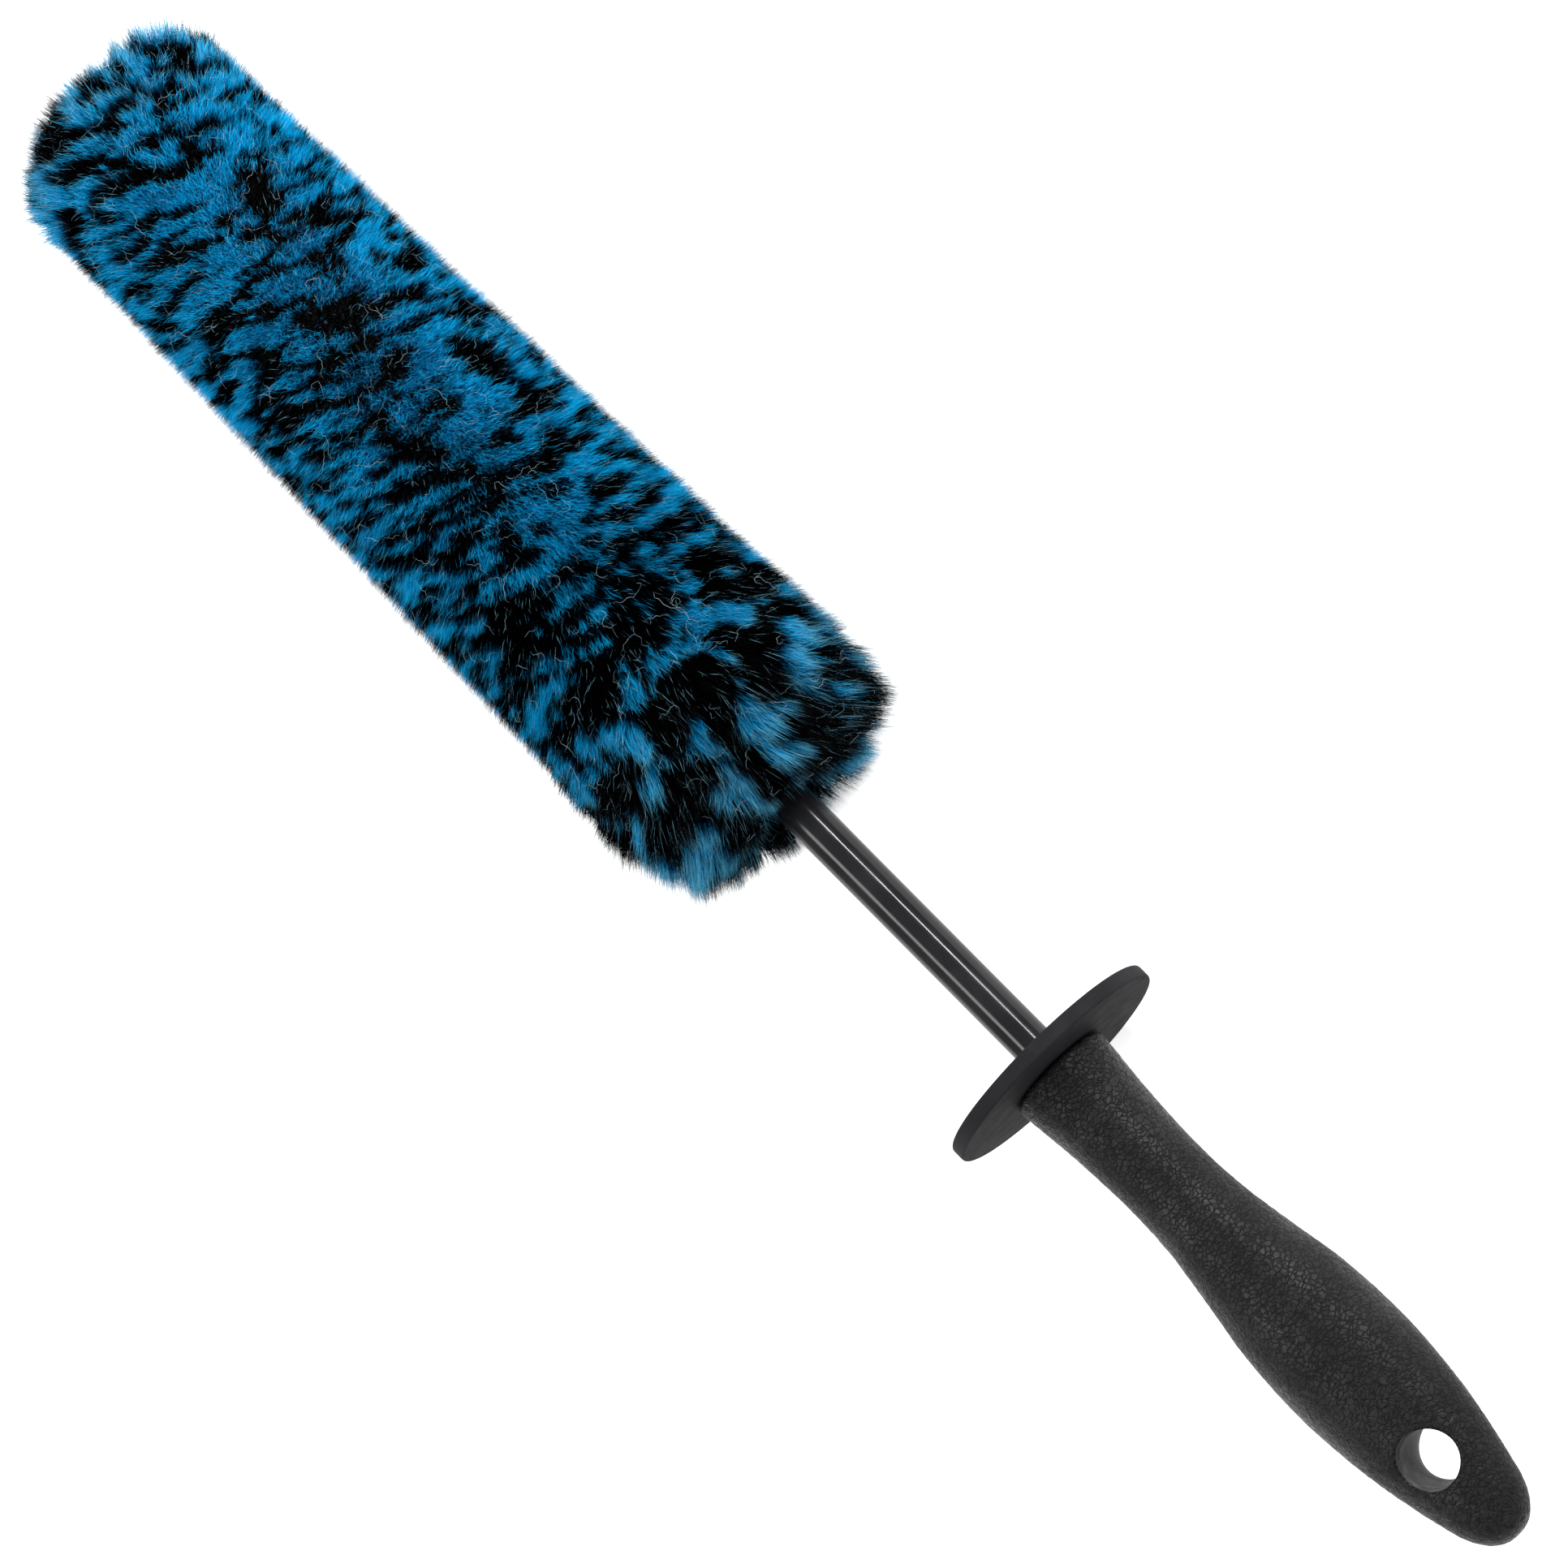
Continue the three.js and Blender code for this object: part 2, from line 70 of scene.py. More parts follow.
brush_across = (Vector((1, 0, 0)) - VIEW_DIRECTION.x * VIEW_DIRECTION).normalized()
brush_down = brush_across.cross(VIEW_DIRECTION)
view_right = math.cos(VIEW_ROLL) * brush_across - math.sin(VIEW_ROLL) * brush_down
view_up = -math.sin(VIEW_ROLL) * brush_across - math.cos(VIEW_ROLL) * brush_down


def add_piece(name, data):
    """A new object of that name in the scene."""
    piece = bpy.data.objects.new(name, data)
    bpy.context.scene.collection.objects.link(piece)
    return piece


camera_data = bpy.data.cameras.new("camera")
camera_data.lens = LENS_MM
camera_data.sensor_width = SENSOR_MM
camera_data.clip_start = 0.05
camera_data.clip_end = 20
camera = add_piece("camera", camera_data)
facing = Matrix((view_right, view_up, VIEW_DIRECTION)).transposed().to_4x4()
camera.matrix_world = Matrix.Translation(VIEW_TARGET + VIEW_DISTANCE * VIEW_DIRECTION) @ facing
bpy.context.scene.camera = camera

# ---------------- floor and studio light
# A pale matte table that glows faintly, in a white room. One long soft strip on the near side
# draws the bright line along the rod, and a weaker one on the far side draws the faint line.
FLOOR_SIZE = 12.0
FLOOR_COLOUR = (0.8, 0.8, 0.8, 1)
FLOOR_GLOW = 0.6
ROOM_COLOUR = (1.0, 1.0, 1.0, 1)
ROOM_STRENGTH = 0.6
NEAR_STRIP_DIRECTION = Vector((-0.2241, 0.7818, 0.5824))
NEAR_STRIP_SIZE = (1.2, 0.07)
NEAR_STRIP_DISTANCE = 1.15
NEAR_STRIP_POWER = 17
FAR_STRIP_DIRECTION = Vector((-0.2241, -0.5337, 0.8158))
FAR_STRIP_SIZE = (1.2, 0.3)
FAR_STRIP_DISTANCE = 1.2
FAR_STRIP_POWER = 11

bpy.context.scene.view_settings.view_transform = "Standard"


def put(tree, kind, settings=None, **inputs):
    """A new node with its settings; an input takes a value or another node's output."""
    made = tree.nodes.new(kind)
    for name, value in (settings or {}).items():
        setattr(made, name, value)
    for name, value in inputs.items():
        feed(tree, made.inputs[name.replace("_", " ")], value)
    return made


def feed(tree, socket, value):
    if isinstance(value, bpy.types.NodeSocket):
        tree.links.new(value, socket)
    else:
        socket.default_value = value


def new_finish(name, colour, roughness, **inputs):
    """A material with one Principled shader; returns the material, its tree and the shader."""
    finish = bpy.data.materials.new(name)
    finish.use_nodes = True
    tree = finish.node_tree
    shader = tree.nodes["Principled BSDF"]
    feed(tree, shader.inputs["Base Color"], colour)
    feed(tree, shader.inputs["Roughness"], roughness)
    for key, value in inputs.items():
        feed(tree, shader.inputs[key.replace("_", " ")], value)
    return finish, tree, shader


def place_of(tree):
    return put(tree, "ShaderNodeTexCoord").outputs["Object"]


def grain(tree, place, scale, detail=3.0, roughness=0.55):
    """Soft random variation from 0 to 1; scale is in repeats per metre."""
    made = put(
        tree, "ShaderNodeTexNoise", Vector=place, Scale=scale, Detail=detail, Roughness=roughness
    )
    return made.outputs["Fac"]


def between(tree, value, low, high, start=0.0, end=1.0, smooth=True):
    """value from low to high becomes start to end, held at both ends."""
    kind = "SMOOTHSTEP" if smooth else "LINEAR"
    made = put(tree, "ShaderNodeMapRange", {"interpolation_type": kind})
    for key, amount in (("Value", value), ("From Min", low), ("From Max", high)):
        feed(tree, made.inputs[key], amount)
    for key, amount in (("To Min", start), ("To Max", end)):
        feed(tree, made.inputs[key], amount)
    return made.outputs["Result"]


def mixed(tree, share, first, second):
    """Colour first where share is 0 and second where it is 1."""
    made = put(tree, "ShaderNodeMix", {"data_type": "RGBA"})
    for index, value in ((0, share), (6, first), (7, second)):
        feed(tree, made.inputs[index], value)
    return made.outputs[2]


def sums(tree, way, first, second):
    """One arithmetic step on two values."""
    made = put(tree, "ShaderNodeMath", {"operation": way})
    feed(tree, made.inputs[0], first)
    feed(tree, made.inputs[1], second)
    return made.outputs[0]


def scaled(tree, vector, amount):
    made = put(tree, "ShaderNodeVectorMath", {"operation": "SCALE"}, Scale=amount)
    feed(tree, made.inputs[0], vector)
    return made.outputs["Vector"]


def added(tree, first, second):
    made = put(tree, "ShaderNodeVectorMath", {"operation": "ADD"})
    feed(tree, made.inputs[0], first)
    feed(tree, made.inputs[1], second)
    return made.outputs["Vector"]


def relief(tree, shader, height, distance):
    """Bumps of that real height in metres on the shader's surface."""
    made = put(tree, "ShaderNodeBump", Height=height, Distance=distance, Strength=1.0)
    tree.links.new(made.outputs["Normal"], shader.inputs["Normal"])


floor_mesh = bpy.data.meshes.new("floor")
floor_half = FLOOR_SIZE / 2
floor_corners = [(x, y, 0) for x, y in ((-1, -1), (1, -1), (1, 1), (-1, 1))]
floor_mesh.from_pydata([Vector(c) * floor_half for c in floor_corners], [], [(0, 1, 2, 3)])
floor = add_piece("floor", floor_mesh)
floor_finish, _, floor_shader = new_finish("floor", FLOOR_COLOUR, 0.9)
floor_shader.inputs["Emission Color"].default_value = (1, 1, 1, 1)
floor_shader.inputs["Emission Strength"].default_value = FLOOR_GLOW
floor.data.materials.append(floor_finish)
floor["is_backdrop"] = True

room = bpy.data.worlds.new("room")
room.use_nodes = True
room.node_tree.nodes["Background"].inputs["Color"].default_value = ROOM_COLOUR
room.node_tree.nodes["Background"].inputs["Strength"].default_value = ROOM_STRENGTH
bpy.context.scene.world = room


def strip_light(name, direction, distance, size, power):
    """A long soft box that runs along the brush and faces it."""
    lamp = bpy.data.lights.new(name, "AREA")
    lamp.shape = "RECTANGLE"
    lamp.size, lamp.size_y = size
    lamp.energy = power
    away = direction.normalized()
    along = (Vector((1, 0, 0)) - away.x * away).normalized()
    turn = Matrix((along, away.cross(along), away)).transposed().to_4x4()
    holder = add_piece(name, lamp)
    holder.matrix_world = Matrix.Translation(VIEW_TARGET + distance * away) @ turn


strip_light(
    "near_strip", NEAR_STRIP_DIRECTION, NEAR_STRIP_DISTANCE, NEAR_STRIP_SIZE, NEAR_STRIP_POWER
)
strip_light("far_strip", FAR_STRIP_DIRECTION, FAR_STRIP_DISTANCE, FAR_STRIP_SIZE, FAR_STRIP_POWER)

# ---------------- pile cover
# The head's plush sock: polyester microfibre pile, printed in blue and black, standing on a knitted
# cloth. It is one sewn piece, drawn in at the tip and tied round the rod at its base, where the pile
# fans out into a ruff. Here its dense foot is one closed body and the hairs are on it in bands.
TIP_RADIUS = 0.0284
TIP_ROUND = 0.015
BASE_ROUND = 0.0315
CREST_RADIUS = 0.019
DIMPLE_DEPTH = 0.0095
NECK_RADIUS = 0.00815
FULLNESS = 2.6
FOOT_TIP_DEPTH = 0.0065  # how deep the dense foot of the pile lies under the hair tips
FOOT_SIDE_DEPTH = 0.0030
FOOT_BASE_DEPTH = 0.0050
FOOT_CREST = (-0.0100, 0.0128)  # foot of the ruff's foremost hairs, from the crest: along, radius
FOOT_NECK = (-0.0112, 0.0084)
CAVITY_RADIUS = 0.0144
CAVITY_ENDS = (0.0145, 0.0235)  # hollow for the stuffed core, from the tip and from the crest
HAIRS_PER_MM2 = 8.0
UNDERSIDE_FROM = -0.86  # cosine of the turn from the top
UNDERSIDE_SHARE = 0.45  # hairs left where the pile is pressed on the floor
SIDE_HALF_WIDTH = 0.000075
END_HALF_WIDTH = 0.000065
TUFT_AREA_MM2 = 40.0
WISP_AREA_MM2 = 1.5
CURVE_STEPS = 200  # points on each round of an outline, before they are spaced evenly
FOOT_SHOULDER_BACK = 0.002  # how far the foot's rounds start inside those of the hair tips
FOOT_HIP_BACK = 0.005
FOOT_RUFF_FULLNESS = 2.2
FOOT_ALONG = 230
FOOT_AROUND = 150
CAVITY_NOSE_LENGTH = 0.008
CAVITY_NOSE_SHARE = 0.6
PRESSED_BELOW = 0.002  # height under which the pile is pressed together
RUFF_REACH = 0.0022  # how far single hairs come out past the ruff's crest
MOST_TRIANGLES = 190_000  # in one band
HAIR_SEED = 11

pile_low, pile_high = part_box("pile_cover")
rod_low, rod_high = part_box("shaft_rod")
axis_z = (rod_low.z + rod_high.z) / 2
tip_x = pile_low.x
crest_x = pile_high.x
base_radius = (pile_high.y - pile_low.y) / 2


def quarter(start, end, steps, power=2.0):
    """A full quarter curve from start, where it runs along x, to end, where it runs along r."""
    turn = np.linspace(0, math.pi / 2, steps)
    along = np.sin(turn) ** (2 / power)
    across = np.cos(turn) ** (2 / power)
    x = start[0] + (end[0] - start[0]) * along
    r = end[1] + (start[1] - end[1]) * across
    return np.stack([x, np.maximum(r, 0)], 1)


def evenly(points, count):
    """The same line with its points spaced evenly along it."""
    steps = np.hypot(*np.diff(points, axis=0).T)
    reach = np.concatenate([[0], np.cumsum(steps)])
    wanted = np.linspace(0, reach[-1], count)
    return np.stack([np.interp(wanted, reach, points[:, k]) for k in range(2)], 1)


# The hair tips' outline and the foot's outline in four matching stretches: tip, side, ruff, dimple.
ruff_x = crest_x - BASE_ROUND
STRETCH_POINTS = (40, 160, 60, 30)
tips_outline = [
    quarter((tip_x + TIP_ROUND, TIP_RADIUS), (tip_x, 0), CURVE_STEPS, FULLNESS)[::-1],
    np.array([(tip_x + TIP_ROUND, TIP_RADIUS), (ruff_x, base_radius)]),
    quarter((ruff_x, base_radius), (crest_x, CREST_RADIUS), CURVE_STEPS, FULLNESS),
    quarter((crest_x - DIMPLE_DEPTH, NECK_RADIUS), (crest_x, CREST_RADIUS), CURVE_STEPS)[::-1],
]
foot_tip = (tip_x + FOOT_TIP_DEPTH, 0)
foot_shoulder = (tip_x + TIP_ROUND + FOOT_SHOULDER_BACK, TIP_RADIUS - FOOT_SIDE_DEPTH)
foot_hip = (ruff_x - FOOT_HIP_BACK, base_radius - FOOT_BASE_DEPTH)
foot_crest = (crest_x + FOOT_CREST[0], FOOT_CREST[1])
foot_neck = (crest_x + FOOT_NECK[0], FOOT_NECK[1])
foot_outline = [
    quarter(foot_shoulder, foot_tip, CURVE_STEPS, FULLNESS)[::-1],
    np.array([foot_shoulder, foot_hip]),
    quarter(foot_hip, foot_crest, CURVE_STEPS, FOOT_RUFF_FULLNESS),
    np.array([foot_crest, foot_neck]),
]
tips_line = np.concatenate([evenly(p, n) for p, n in zip(tips_outline, STRETCH_POINTS)])
foot_line = np.concatenate([evenly(p, n) for p, n in zip(foot_outline, STRETCH_POINTS)])
line_share = np.linspace(0, 1, len(tips_line))
stretch_ends = np.cumsum(STRETCH_POINTS) / len(tips_line)


def on_line(line, share):
    return np.stack([np.interp(share, line_share, line[:, k]) for k in range(2)], 1)


def round_the_axis(flat, turn):
    """Points [along, radius] turned about the brush's axis; turn 0 is the top."""
    return np.stack(
        [flat[:, 0], flat[:, 1] * np.sin(turn), axis_z + flat[:, 1] * np.cos(turn)], 1
    )


def turned_rings(line, around):
    """A ring of points about the brush's axis for each point [along, radius] of a line."""
    turns = np.linspace(0, 2 * math.pi, around, endpoint=False)
    return np.stack([round_the_axis(np.tile(np.array(p), (around, 1)), turns) for p in line])


def pressed(points):
    """The underside pressed together where the brush rests."""
    z = points[..., 2]
    flat = PRESSED_BELOW * np.exp(np.minimum(z - PRESSED_BELOW, 0) / PRESSED_BELOW)
    points[..., 2] = np.where(z < PRESSED_BELOW, flat, z)
    return points


def grid_mesh(name, rings):
    """A closed skin over rings of points, each ring with the same count, with its ends filled."""
    count, around = rings.shape[:2]
    first = np.arange(count - 1)[:, None] * around + np.arange(around)[None, :]
    after = np.roll(first, -1, axis=1)
    quads = np.stack([first, after, after + around, first + around], -1).reshape(-1, 4)
    corners = rings.reshape(-1, 3)
    faces = quads.tolist()
    hubs = np.stack([rings[0].mean(0), rings[-1].mean(0)])
    start, end = len(corners), len(corners) + 1
    last = (count - 1) * around
    for j in range(around):
        k = (j + 1) % around
        faces.append((start, k, j))
        faces.append((end, last + j, last + k))
    corners = np.concatenate([corners, hubs])
    mesh = bpy.data.meshes.new(name)
    mesh.from_pydata(corners.tolist(), [], faces)
    mesh.shade_smooth()
    return mesh


# the print: black patches and streaks that run round the head, on blue
PRINT_DRUM_RADIUS = 0.03
PRINT_LEAN = (0.0, 0.2, -0.42)
PRINT_STRETCH = (0.52, 2.1, 1.5)
PRINT_WANDER = 0.0058
EDGE_AT_TIP = 0.503  # a lower edge leaves more black
EDGE_AT_CREST = 0.462
TIP_BLOTS = (0.004, 0.022)  # where the blots of the two ends give way to streaks
RUFF_BLOTS = (0.09, 0.02)
BLOT_SHARE = 0.8
PATCH_EDGE = (-0.006, 0.008)  # how sharply a patch ends
STREAK_EDGE = (0.012, 0.024)
STREAK_GATE = (0.46, 0.50)


def fleece_print_group():
    """From a place on the cloth: how black the print is there, and how strong the dye came out."""
    group = bpy.data.node_groups.new("fleece_print", "ShaderNodeTree")
    face = group.interface
    face.new_socket("Place", in_out="INPUT", socket_type="NodeSocketVector")
    face.new_socket("Black", in_out="OUTPUT", socket_type="NodeSocketFloat")
    face.new_socket("Dye", in_out="OUTPUT", socket_type="NodeSocketFloat")
    # taken on one even drum, so that it is the same from a hair's foot to its point
    apart = put(
        group, "ShaderNodeSeparateXYZ", Vector=put(group, "NodeGroupInput").outputs["Place"]
    )
    outward = put(group, "ShaderNodeVectorMath", {"operation": "NORMALIZE"})
    feed(
        group, outward.inputs[0],
        put(
            group, "ShaderNodeCombineXYZ", Y=apart.outputs["Y"],
            Z=sums(group, "SUBTRACT", apart.outputs["Z"], axis_z),
        ).outputs["Vector"],
    )
    drum = scaled(group, outward.outputs["Vector"], PRINT_DRUM_RADIUS)
    along_head = put(group, "ShaderNodeCombineXYZ", X=apart.outputs["X"])
    start = added(group, drum, along_head.outputs["Vector"])
    # streaks lie round the head and a little along it
    lean = put(group, "ShaderNodeMapping", {"vector_type": "TEXTURE"}, Vector=start)
    lean.inputs["Rotation"].default_value = PRINT_LEAN
    lean.inputs["Scale"].default_value = PRINT_STRETCH
    place = lean.outputs["Vector"]
    wander = put(group, "ShaderNodeTexNoise", Vector=place, Scale=100.0, Detail=1.0)
    moved = added(group, place, scaled(group, wander.outputs["Color"], PRINT_WANDER))
    fine = grain(group, moved, 160.0, 4.0, 0.58)
    # rounder, larger blots at both ends of the head
    broad = grain(group, start, 125.0, 3.0, 0.55)
    along = apart.outputs["X"]
    at_tip = between(group, along, tip_x + TIP_BLOTS[0], tip_x + TIP_BLOTS[1], 1.0, 0.0)
    at_ruff = between(group, along, crest_x - RUFF_BLOTS[0], crest_x - RUFF_BLOTS[1])
    at_ends = sums(group, "MULTIPLY", sums(group, "MAXIMUM", at_tip, at_ruff), BLOT_SHARE)
    spots = put(group, "ShaderNodeMix", {"data_type": "FLOAT"})
    for index, value in ((0, at_ends), (2, fine), (3, broad)):
        feed(group, spots.inputs[index], value)
    # more black towards the ruff
    edge = between(group, along, tip_x, crest_x, EDGE_AT_TIP, EDGE_AT_CREST, smooth=False)
    inked = sums(group, "SUBTRACT", spots.outputs[0], edge)
    patches = between(group, inked, *PATCH_EDGE)
    # narrow wavering streaks, which come and go
    fold = grain(group, moved, 135.0, 1.0, 0.4)
    ridge = sums(group, "ABSOLUTE", sums(group, "SUBTRACT", fold, 0.5), 0.0)
    thin = between(group, ridge, *STREAK_EDGE, 1.0, 0.0)
    gate = between(group, grain(group, start, 60.0, 1.0), *STREAK_GATE)
    streaks = sums(group, "MULTIPLY", thin, gate)
    black = sums(group, "MAXIMUM", patches, streaks)
    dye = grain(group, start, 90.0, 2.0)
    end = put(group, "NodeGroupOutput")
    feed(group, end.inputs["Black"], black)
    feed(group, end.inputs["Dye"], dye)
    return group


fleece_print = fleece_print_group()


def printed(tree, place):
    """Black share and dye strength of the print at a place."""
    made = put(tree, "ShaderNodeGroup", {"node_tree": fleece_print}, Place=place)
    return made.outputs["Black"], made.outputs["Dye"]


# the deepest blue and the deepest black are painted shade, for the roots of the hairs and the foot of
# the pile
BLUE_PAINTED_SHADE = (0.0008, 0.12, 0.30, 1)
BLUE_WEAK = (0.001, 0.20, 0.44, 1)
BLUE_STRONG = (0.001, 0.40, 0.78, 1)
# the pale points of the hairs, blue and black, are partly wear and partly painted rim light
BLUE_WORN_AND_RIMLIT_TIP = (0.17, 0.56, 0.74, 1)
BLACK_PAINTED_SHADE = (0.0003, 0.0003, 0.0006, 1)
BLACK_HAIR = (0.0006, 0.0007, 0.001, 1)
UNDYED = (0.2, 0.46, 0.58, 1)
BLACK_WORN_AND_RIMLIT_TIP = (0.03, 0.028, 0.028, 1)

# foot of the pile: the same dyes, darker where no light gets down
foot_finish, foot_tree, foot_shader = new_finish("pile_foot", BLUE_PAINTED_SHADE, 0.95)
foot_place = place_of(foot_tree)
foot_black, foot_dye = printed(foot_tree, foot_place)
foot_blue = mixed(foot_tree, between(foot_tree, foot_dye, 0.35, 0.65), BLUE_PAINTED_SHADE, BLUE_WEAK)
foot_speckle = between(foot_tree, grain(foot_tree, foot_place, 2600.0, 2.0), 0.4, 0.62)
foot_colour = mixed(foot_tree, foot_speckle, BLUE_PAINTED_SHADE, foot_blue)
foot_colour = mixed(foot_tree, foot_black, foot_colour, BLACK_PAINTED_SHADE)
feed(foot_tree, foot_shader.inputs["Base Color"], foot_colour)
relief(foot_tree, foot_shader, grain(foot_tree, foot_place, 2200.0, 3.0), 0.0006)

foot_shares = np.linspace(0, 1, FOOT_ALONG)
foot_flat = on_line(foot_line, foot_shares)
cavity_flat = np.array(
    [
        (crest_x - CAVITY_ENDS[1], CAVITY_RADIUS),
        (tip_x + CAVITY_ENDS[0] + CAVITY_NOSE_LENGTH, CAVITY_RADIUS),
        (tip_x + CAVITY_ENDS[0], CAVITY_RADIUS * CAVITY_NOSE_SHARE),
    ]
)
section = np.concatenate([foot_flat[1:], cavity_flat])
foot_rings = pressed(turned_rings(section, FOOT_AROUND))
foot_piece = add_piece("pile_foot", grid_mesh("pile_foot", foot_rings))
foot_piece.data.materials.append(foot_finish)

# hairs: where each one stands and where its tip comes out
rng = np.random.default_rng(HAIR_SEED)
line_steps = np.hypot(*np.diff(tips_line, axis=0).T)
ring_area = 2 * math.pi * (tips_line[1:, 1] + tips_line[:-1, 1]) / 2 * line_steps
area_share = np.concatenate([[0], np.cumsum(ring_area)])
pile_area_mm2 = area_share[-1] * 1e6
area_share /= area_share[-1]


# steps of an even scatter that never repeats, along the pile and round it
STEP_ALONG = 0.7548776662466927
STEP_ROUND = 0.5698402909980532


def scattered(count, jitter):
    """Even but unruled places on the pile: share along the outline and turn about the axis."""
    number = np.arange(count)
    along = (0.5 + number * STEP_ALONG) % 1
    turn = (0.5 + number * STEP_ROUND) % 1
    along = np.clip(along + rng.normal(0, jitter, count), 0, 1)
    share = np.interp(along, area_share, line_share)
    return share, turn * 2 * math.pi + rng.normal(0, 0.03, count)


def unit(vectors):
    return vectors / np.maximum(np.linalg.norm(vectors, axis=-1, keepdims=True), 1e-12)


def nearest(points, centres):
    """For each point the number of the centre that it is nearest to."""
    tree = kdtree.KDTree(len(centres))
    for number, centre in enumerate(centres):
        tree.insert(centre, number)
    tree.balance()
    return np.array([tree.find(p)[1] for p in points])


LOOSE_PAST_TIP = 1.45  # where the tip's open hair ends and how softly, in lengths of its round
LOOSE_TIP_FADE = 0.75
LOOSE_BEFORE_RUFF = 0.045  # where the ruff's begins and how softly, in shares of the outline
LOOSE_RUFF_FADE = 0.09


def looseness(share):
    """0 on the close side of the head, 1 on the open hair of the tip and the ruff."""
    tip_round = stretch_ends[0]
    tip = np.clip((tip_round * LOOSE_PAST_TIP - share) / (tip_round * LOOSE_TIP_FADE), 0, 1)
    ruff = np.clip((share - stretch_ends[1] + LOOSE_BEFORE_RUFF) / LOOSE_RUFF_FADE, 0, 1)
    return np.maximum(tip, ruff)


# moves of the hair tips: on the close side, and how much more of it on the open ends
TUFT_PULL = (0.02, 0.2)
TUFT_LEAN = (0.0002, 0.0009)
TUFT_RISE = (0.0001, 0.0014)
TUFT_CROWN = (0.0001, 0.0018)
TUFT_CROWN_RADIUS = 0.004
WISP_WANDER = 0.00028
WISP_GATHER = (0.2, 1.2)
WISP_SINK = 0.0004
OUTLIER_REACH = (0.0003, 0.0011)
OUTLIER_MOST = 3.5
HAIR_LEAN = (0.001, -0.0001)


def opening(move):
    """A move's size for each hair, from the close side's and the open ends' extra."""
    return move[0] + move[1] * loose


hair_count = int(pile_area_mm2 * HAIRS_PER_MM2)
hair_share, hair_turn = scattered(hair_count, 0.002)
underneath = np.cos(hair_turn) < UNDERSIDE_FROM
kept = ~underneath | (rng.random(hair_count) < UNDERSIDE_SHARE)
hair_share, hair_turn = hair_share[kept], hair_turn[kept]
hair_count = len(hair_share)
loose = looseness(hair_share)[:, None]
root = round_the_axis(on_line(foot_line, hair_share), hair_turn)
tip = round_the_axis(on_line(tips_line, hair_share), hair_turn)
stand = unit(tip - root)

# tufts, a thumbnail wide, that lean together; wisps of about a dozen hairs within them
tuft_share, tuft_turn = scattered(int(pile_area_mm2 / TUFT_AREA_MM2), 0.01)
tuft_place = round_the_axis(on_line(tips_line, tuft_share), tuft_turn)
tuft = nearest(tip, tuft_place)
tuft_lean = rng.normal(0, 1, (len(tuft_place), 3))
tuft_rise = rng.normal(0, 1, len(tuft_place))
from_middle = np.linalg.norm(tip - tuft_place[tuft], axis=1, keepdims=True)
crown = np.exp(-((from_middle / TUFT_CROWN_RADIUS) ** 2))
tip_moved = tip + (tuft_place[tuft] - tip) * opening(TUFT_PULL)
tip_moved += tuft_lean[tuft] * opening(TUFT_LEAN)
tip_moved += stand * (tuft_rise[tuft][:, None] * opening(TUFT_RISE))
tip_moved += stand * ((crown - 0.5) * opening(TUFT_CROWN))
wisp_share, wisp_turn = scattered(int(pile_area_mm2 / WISP_AREA_MM2), 0.004)
wisp_place = round_the_axis(on_line(tips_line, wisp_share), wisp_turn)
wisp = nearest(tip, wisp_place)
wisp_centre = np.zeros_like(wisp_place)
wisp_members = np.bincount(wisp, minlength=len(wisp_place))
for k in range(3):
    wisp_centre[:, k] = np.bincount(wisp, tip_moved[:, k], len(wisp_place))
wisp_centre /= np.maximum(wisp_members, 1)[:, None]
wisp_centre += rng.normal(0, WISP_WANDER, wisp_centre.shape)
gather = (0.05 + 0.35 * rng.random(hair_count))[:, None] * opening(WISP_GATHER)
wisp_rise = rng.normal(0, 0.0002, len(wisp_place))[wisp][:, None] * (0.4 + loose)
tip_moved += (wisp_centre[wisp] - tip_moved) * np.clip(gather, 0, 0.9)
# a few hairs in every wisp stand out beyond the rest
outlier = np.minimum(rng.exponential(1, (hair_count, 1)), OUTLIER_MOST)
outlier_rise = outlier * opening(OUTLIER_REACH)
tip_moved += stand * (wisp_rise - WISP_SINK - WISP_SINK * loose + outlier_rise)
tip_moved += rng.normal(0, 1, (hair_count, 3)) * opening(HAIR_LEAN)
print_place = tip_moved + (root - tip_moved) * loose


ROD_CLEARANCE_RADIUS = 0.0053
CLEAR_FROM_CREST = 0.02


def clear_of_rod(points):
    """Keeps hairs off the rod that comes out of the ruff, and short of the guard pushed up to it."""
    past = points[..., 0] - crest_x
    eased = RUFF_REACH * (1 - np.exp(-np.maximum(past, 0) / RUFF_REACH))
    points[..., 0] = np.where(past > 0, crest_x + eased, points[..., 0])
    y, z = points[..., 1], points[..., 2] - axis_z
    radius = np.maximum(np.hypot(y, z), 1e-9)
    beside_rod = points[..., 0] > crest_x - CLEAR_FROM_CREST
    grow = np.where(beside_rod, np.maximum(ROD_CLEARANCE_RADIUS / radius, 1), 1)
    points[..., 1] = y * grow
    points[..., 2] = axis_z + z * grow
    return points


hair_chance = rng.random(hair_count)

# hair material: painted shade darkens each hair towards its root, and its point is paler, partly from
# wear and partly painted rim light; a few hairs took little dye
hair_finish, hair_tree, hair_shader = new_finish(
    "pile_hair", BLUE_STRONG, 0.9, Specular_IOR_Level=0.0,
)
hair_place, *hair_values = [
    put(hair_tree, "ShaderNodeAttribute", {"attribute_name": name})
    for name in ("hair_place", "hair_along", "hair_chance", "hair_open")
]
along, chance, openness = (node.outputs["Fac"] for node in hair_values)
hair_black, hair_dye = printed(hair_tree, hair_place.outputs["Vector"])
took = sums(hair_tree, "ADD", sums(hair_tree, "MULTIPLY", chance, 0.35), hair_dye)
blue = mixed(hair_tree, between(hair_tree, took, 0.45, 0.85), BLUE_WEAK, BLUE_STRONG)
# painted shade: each blue hair darker towards its root, down in the pile
blue = mixed(hair_tree, between(hair_tree, along, 0.15, 0.75), BLUE_PAINTED_SHADE, blue)
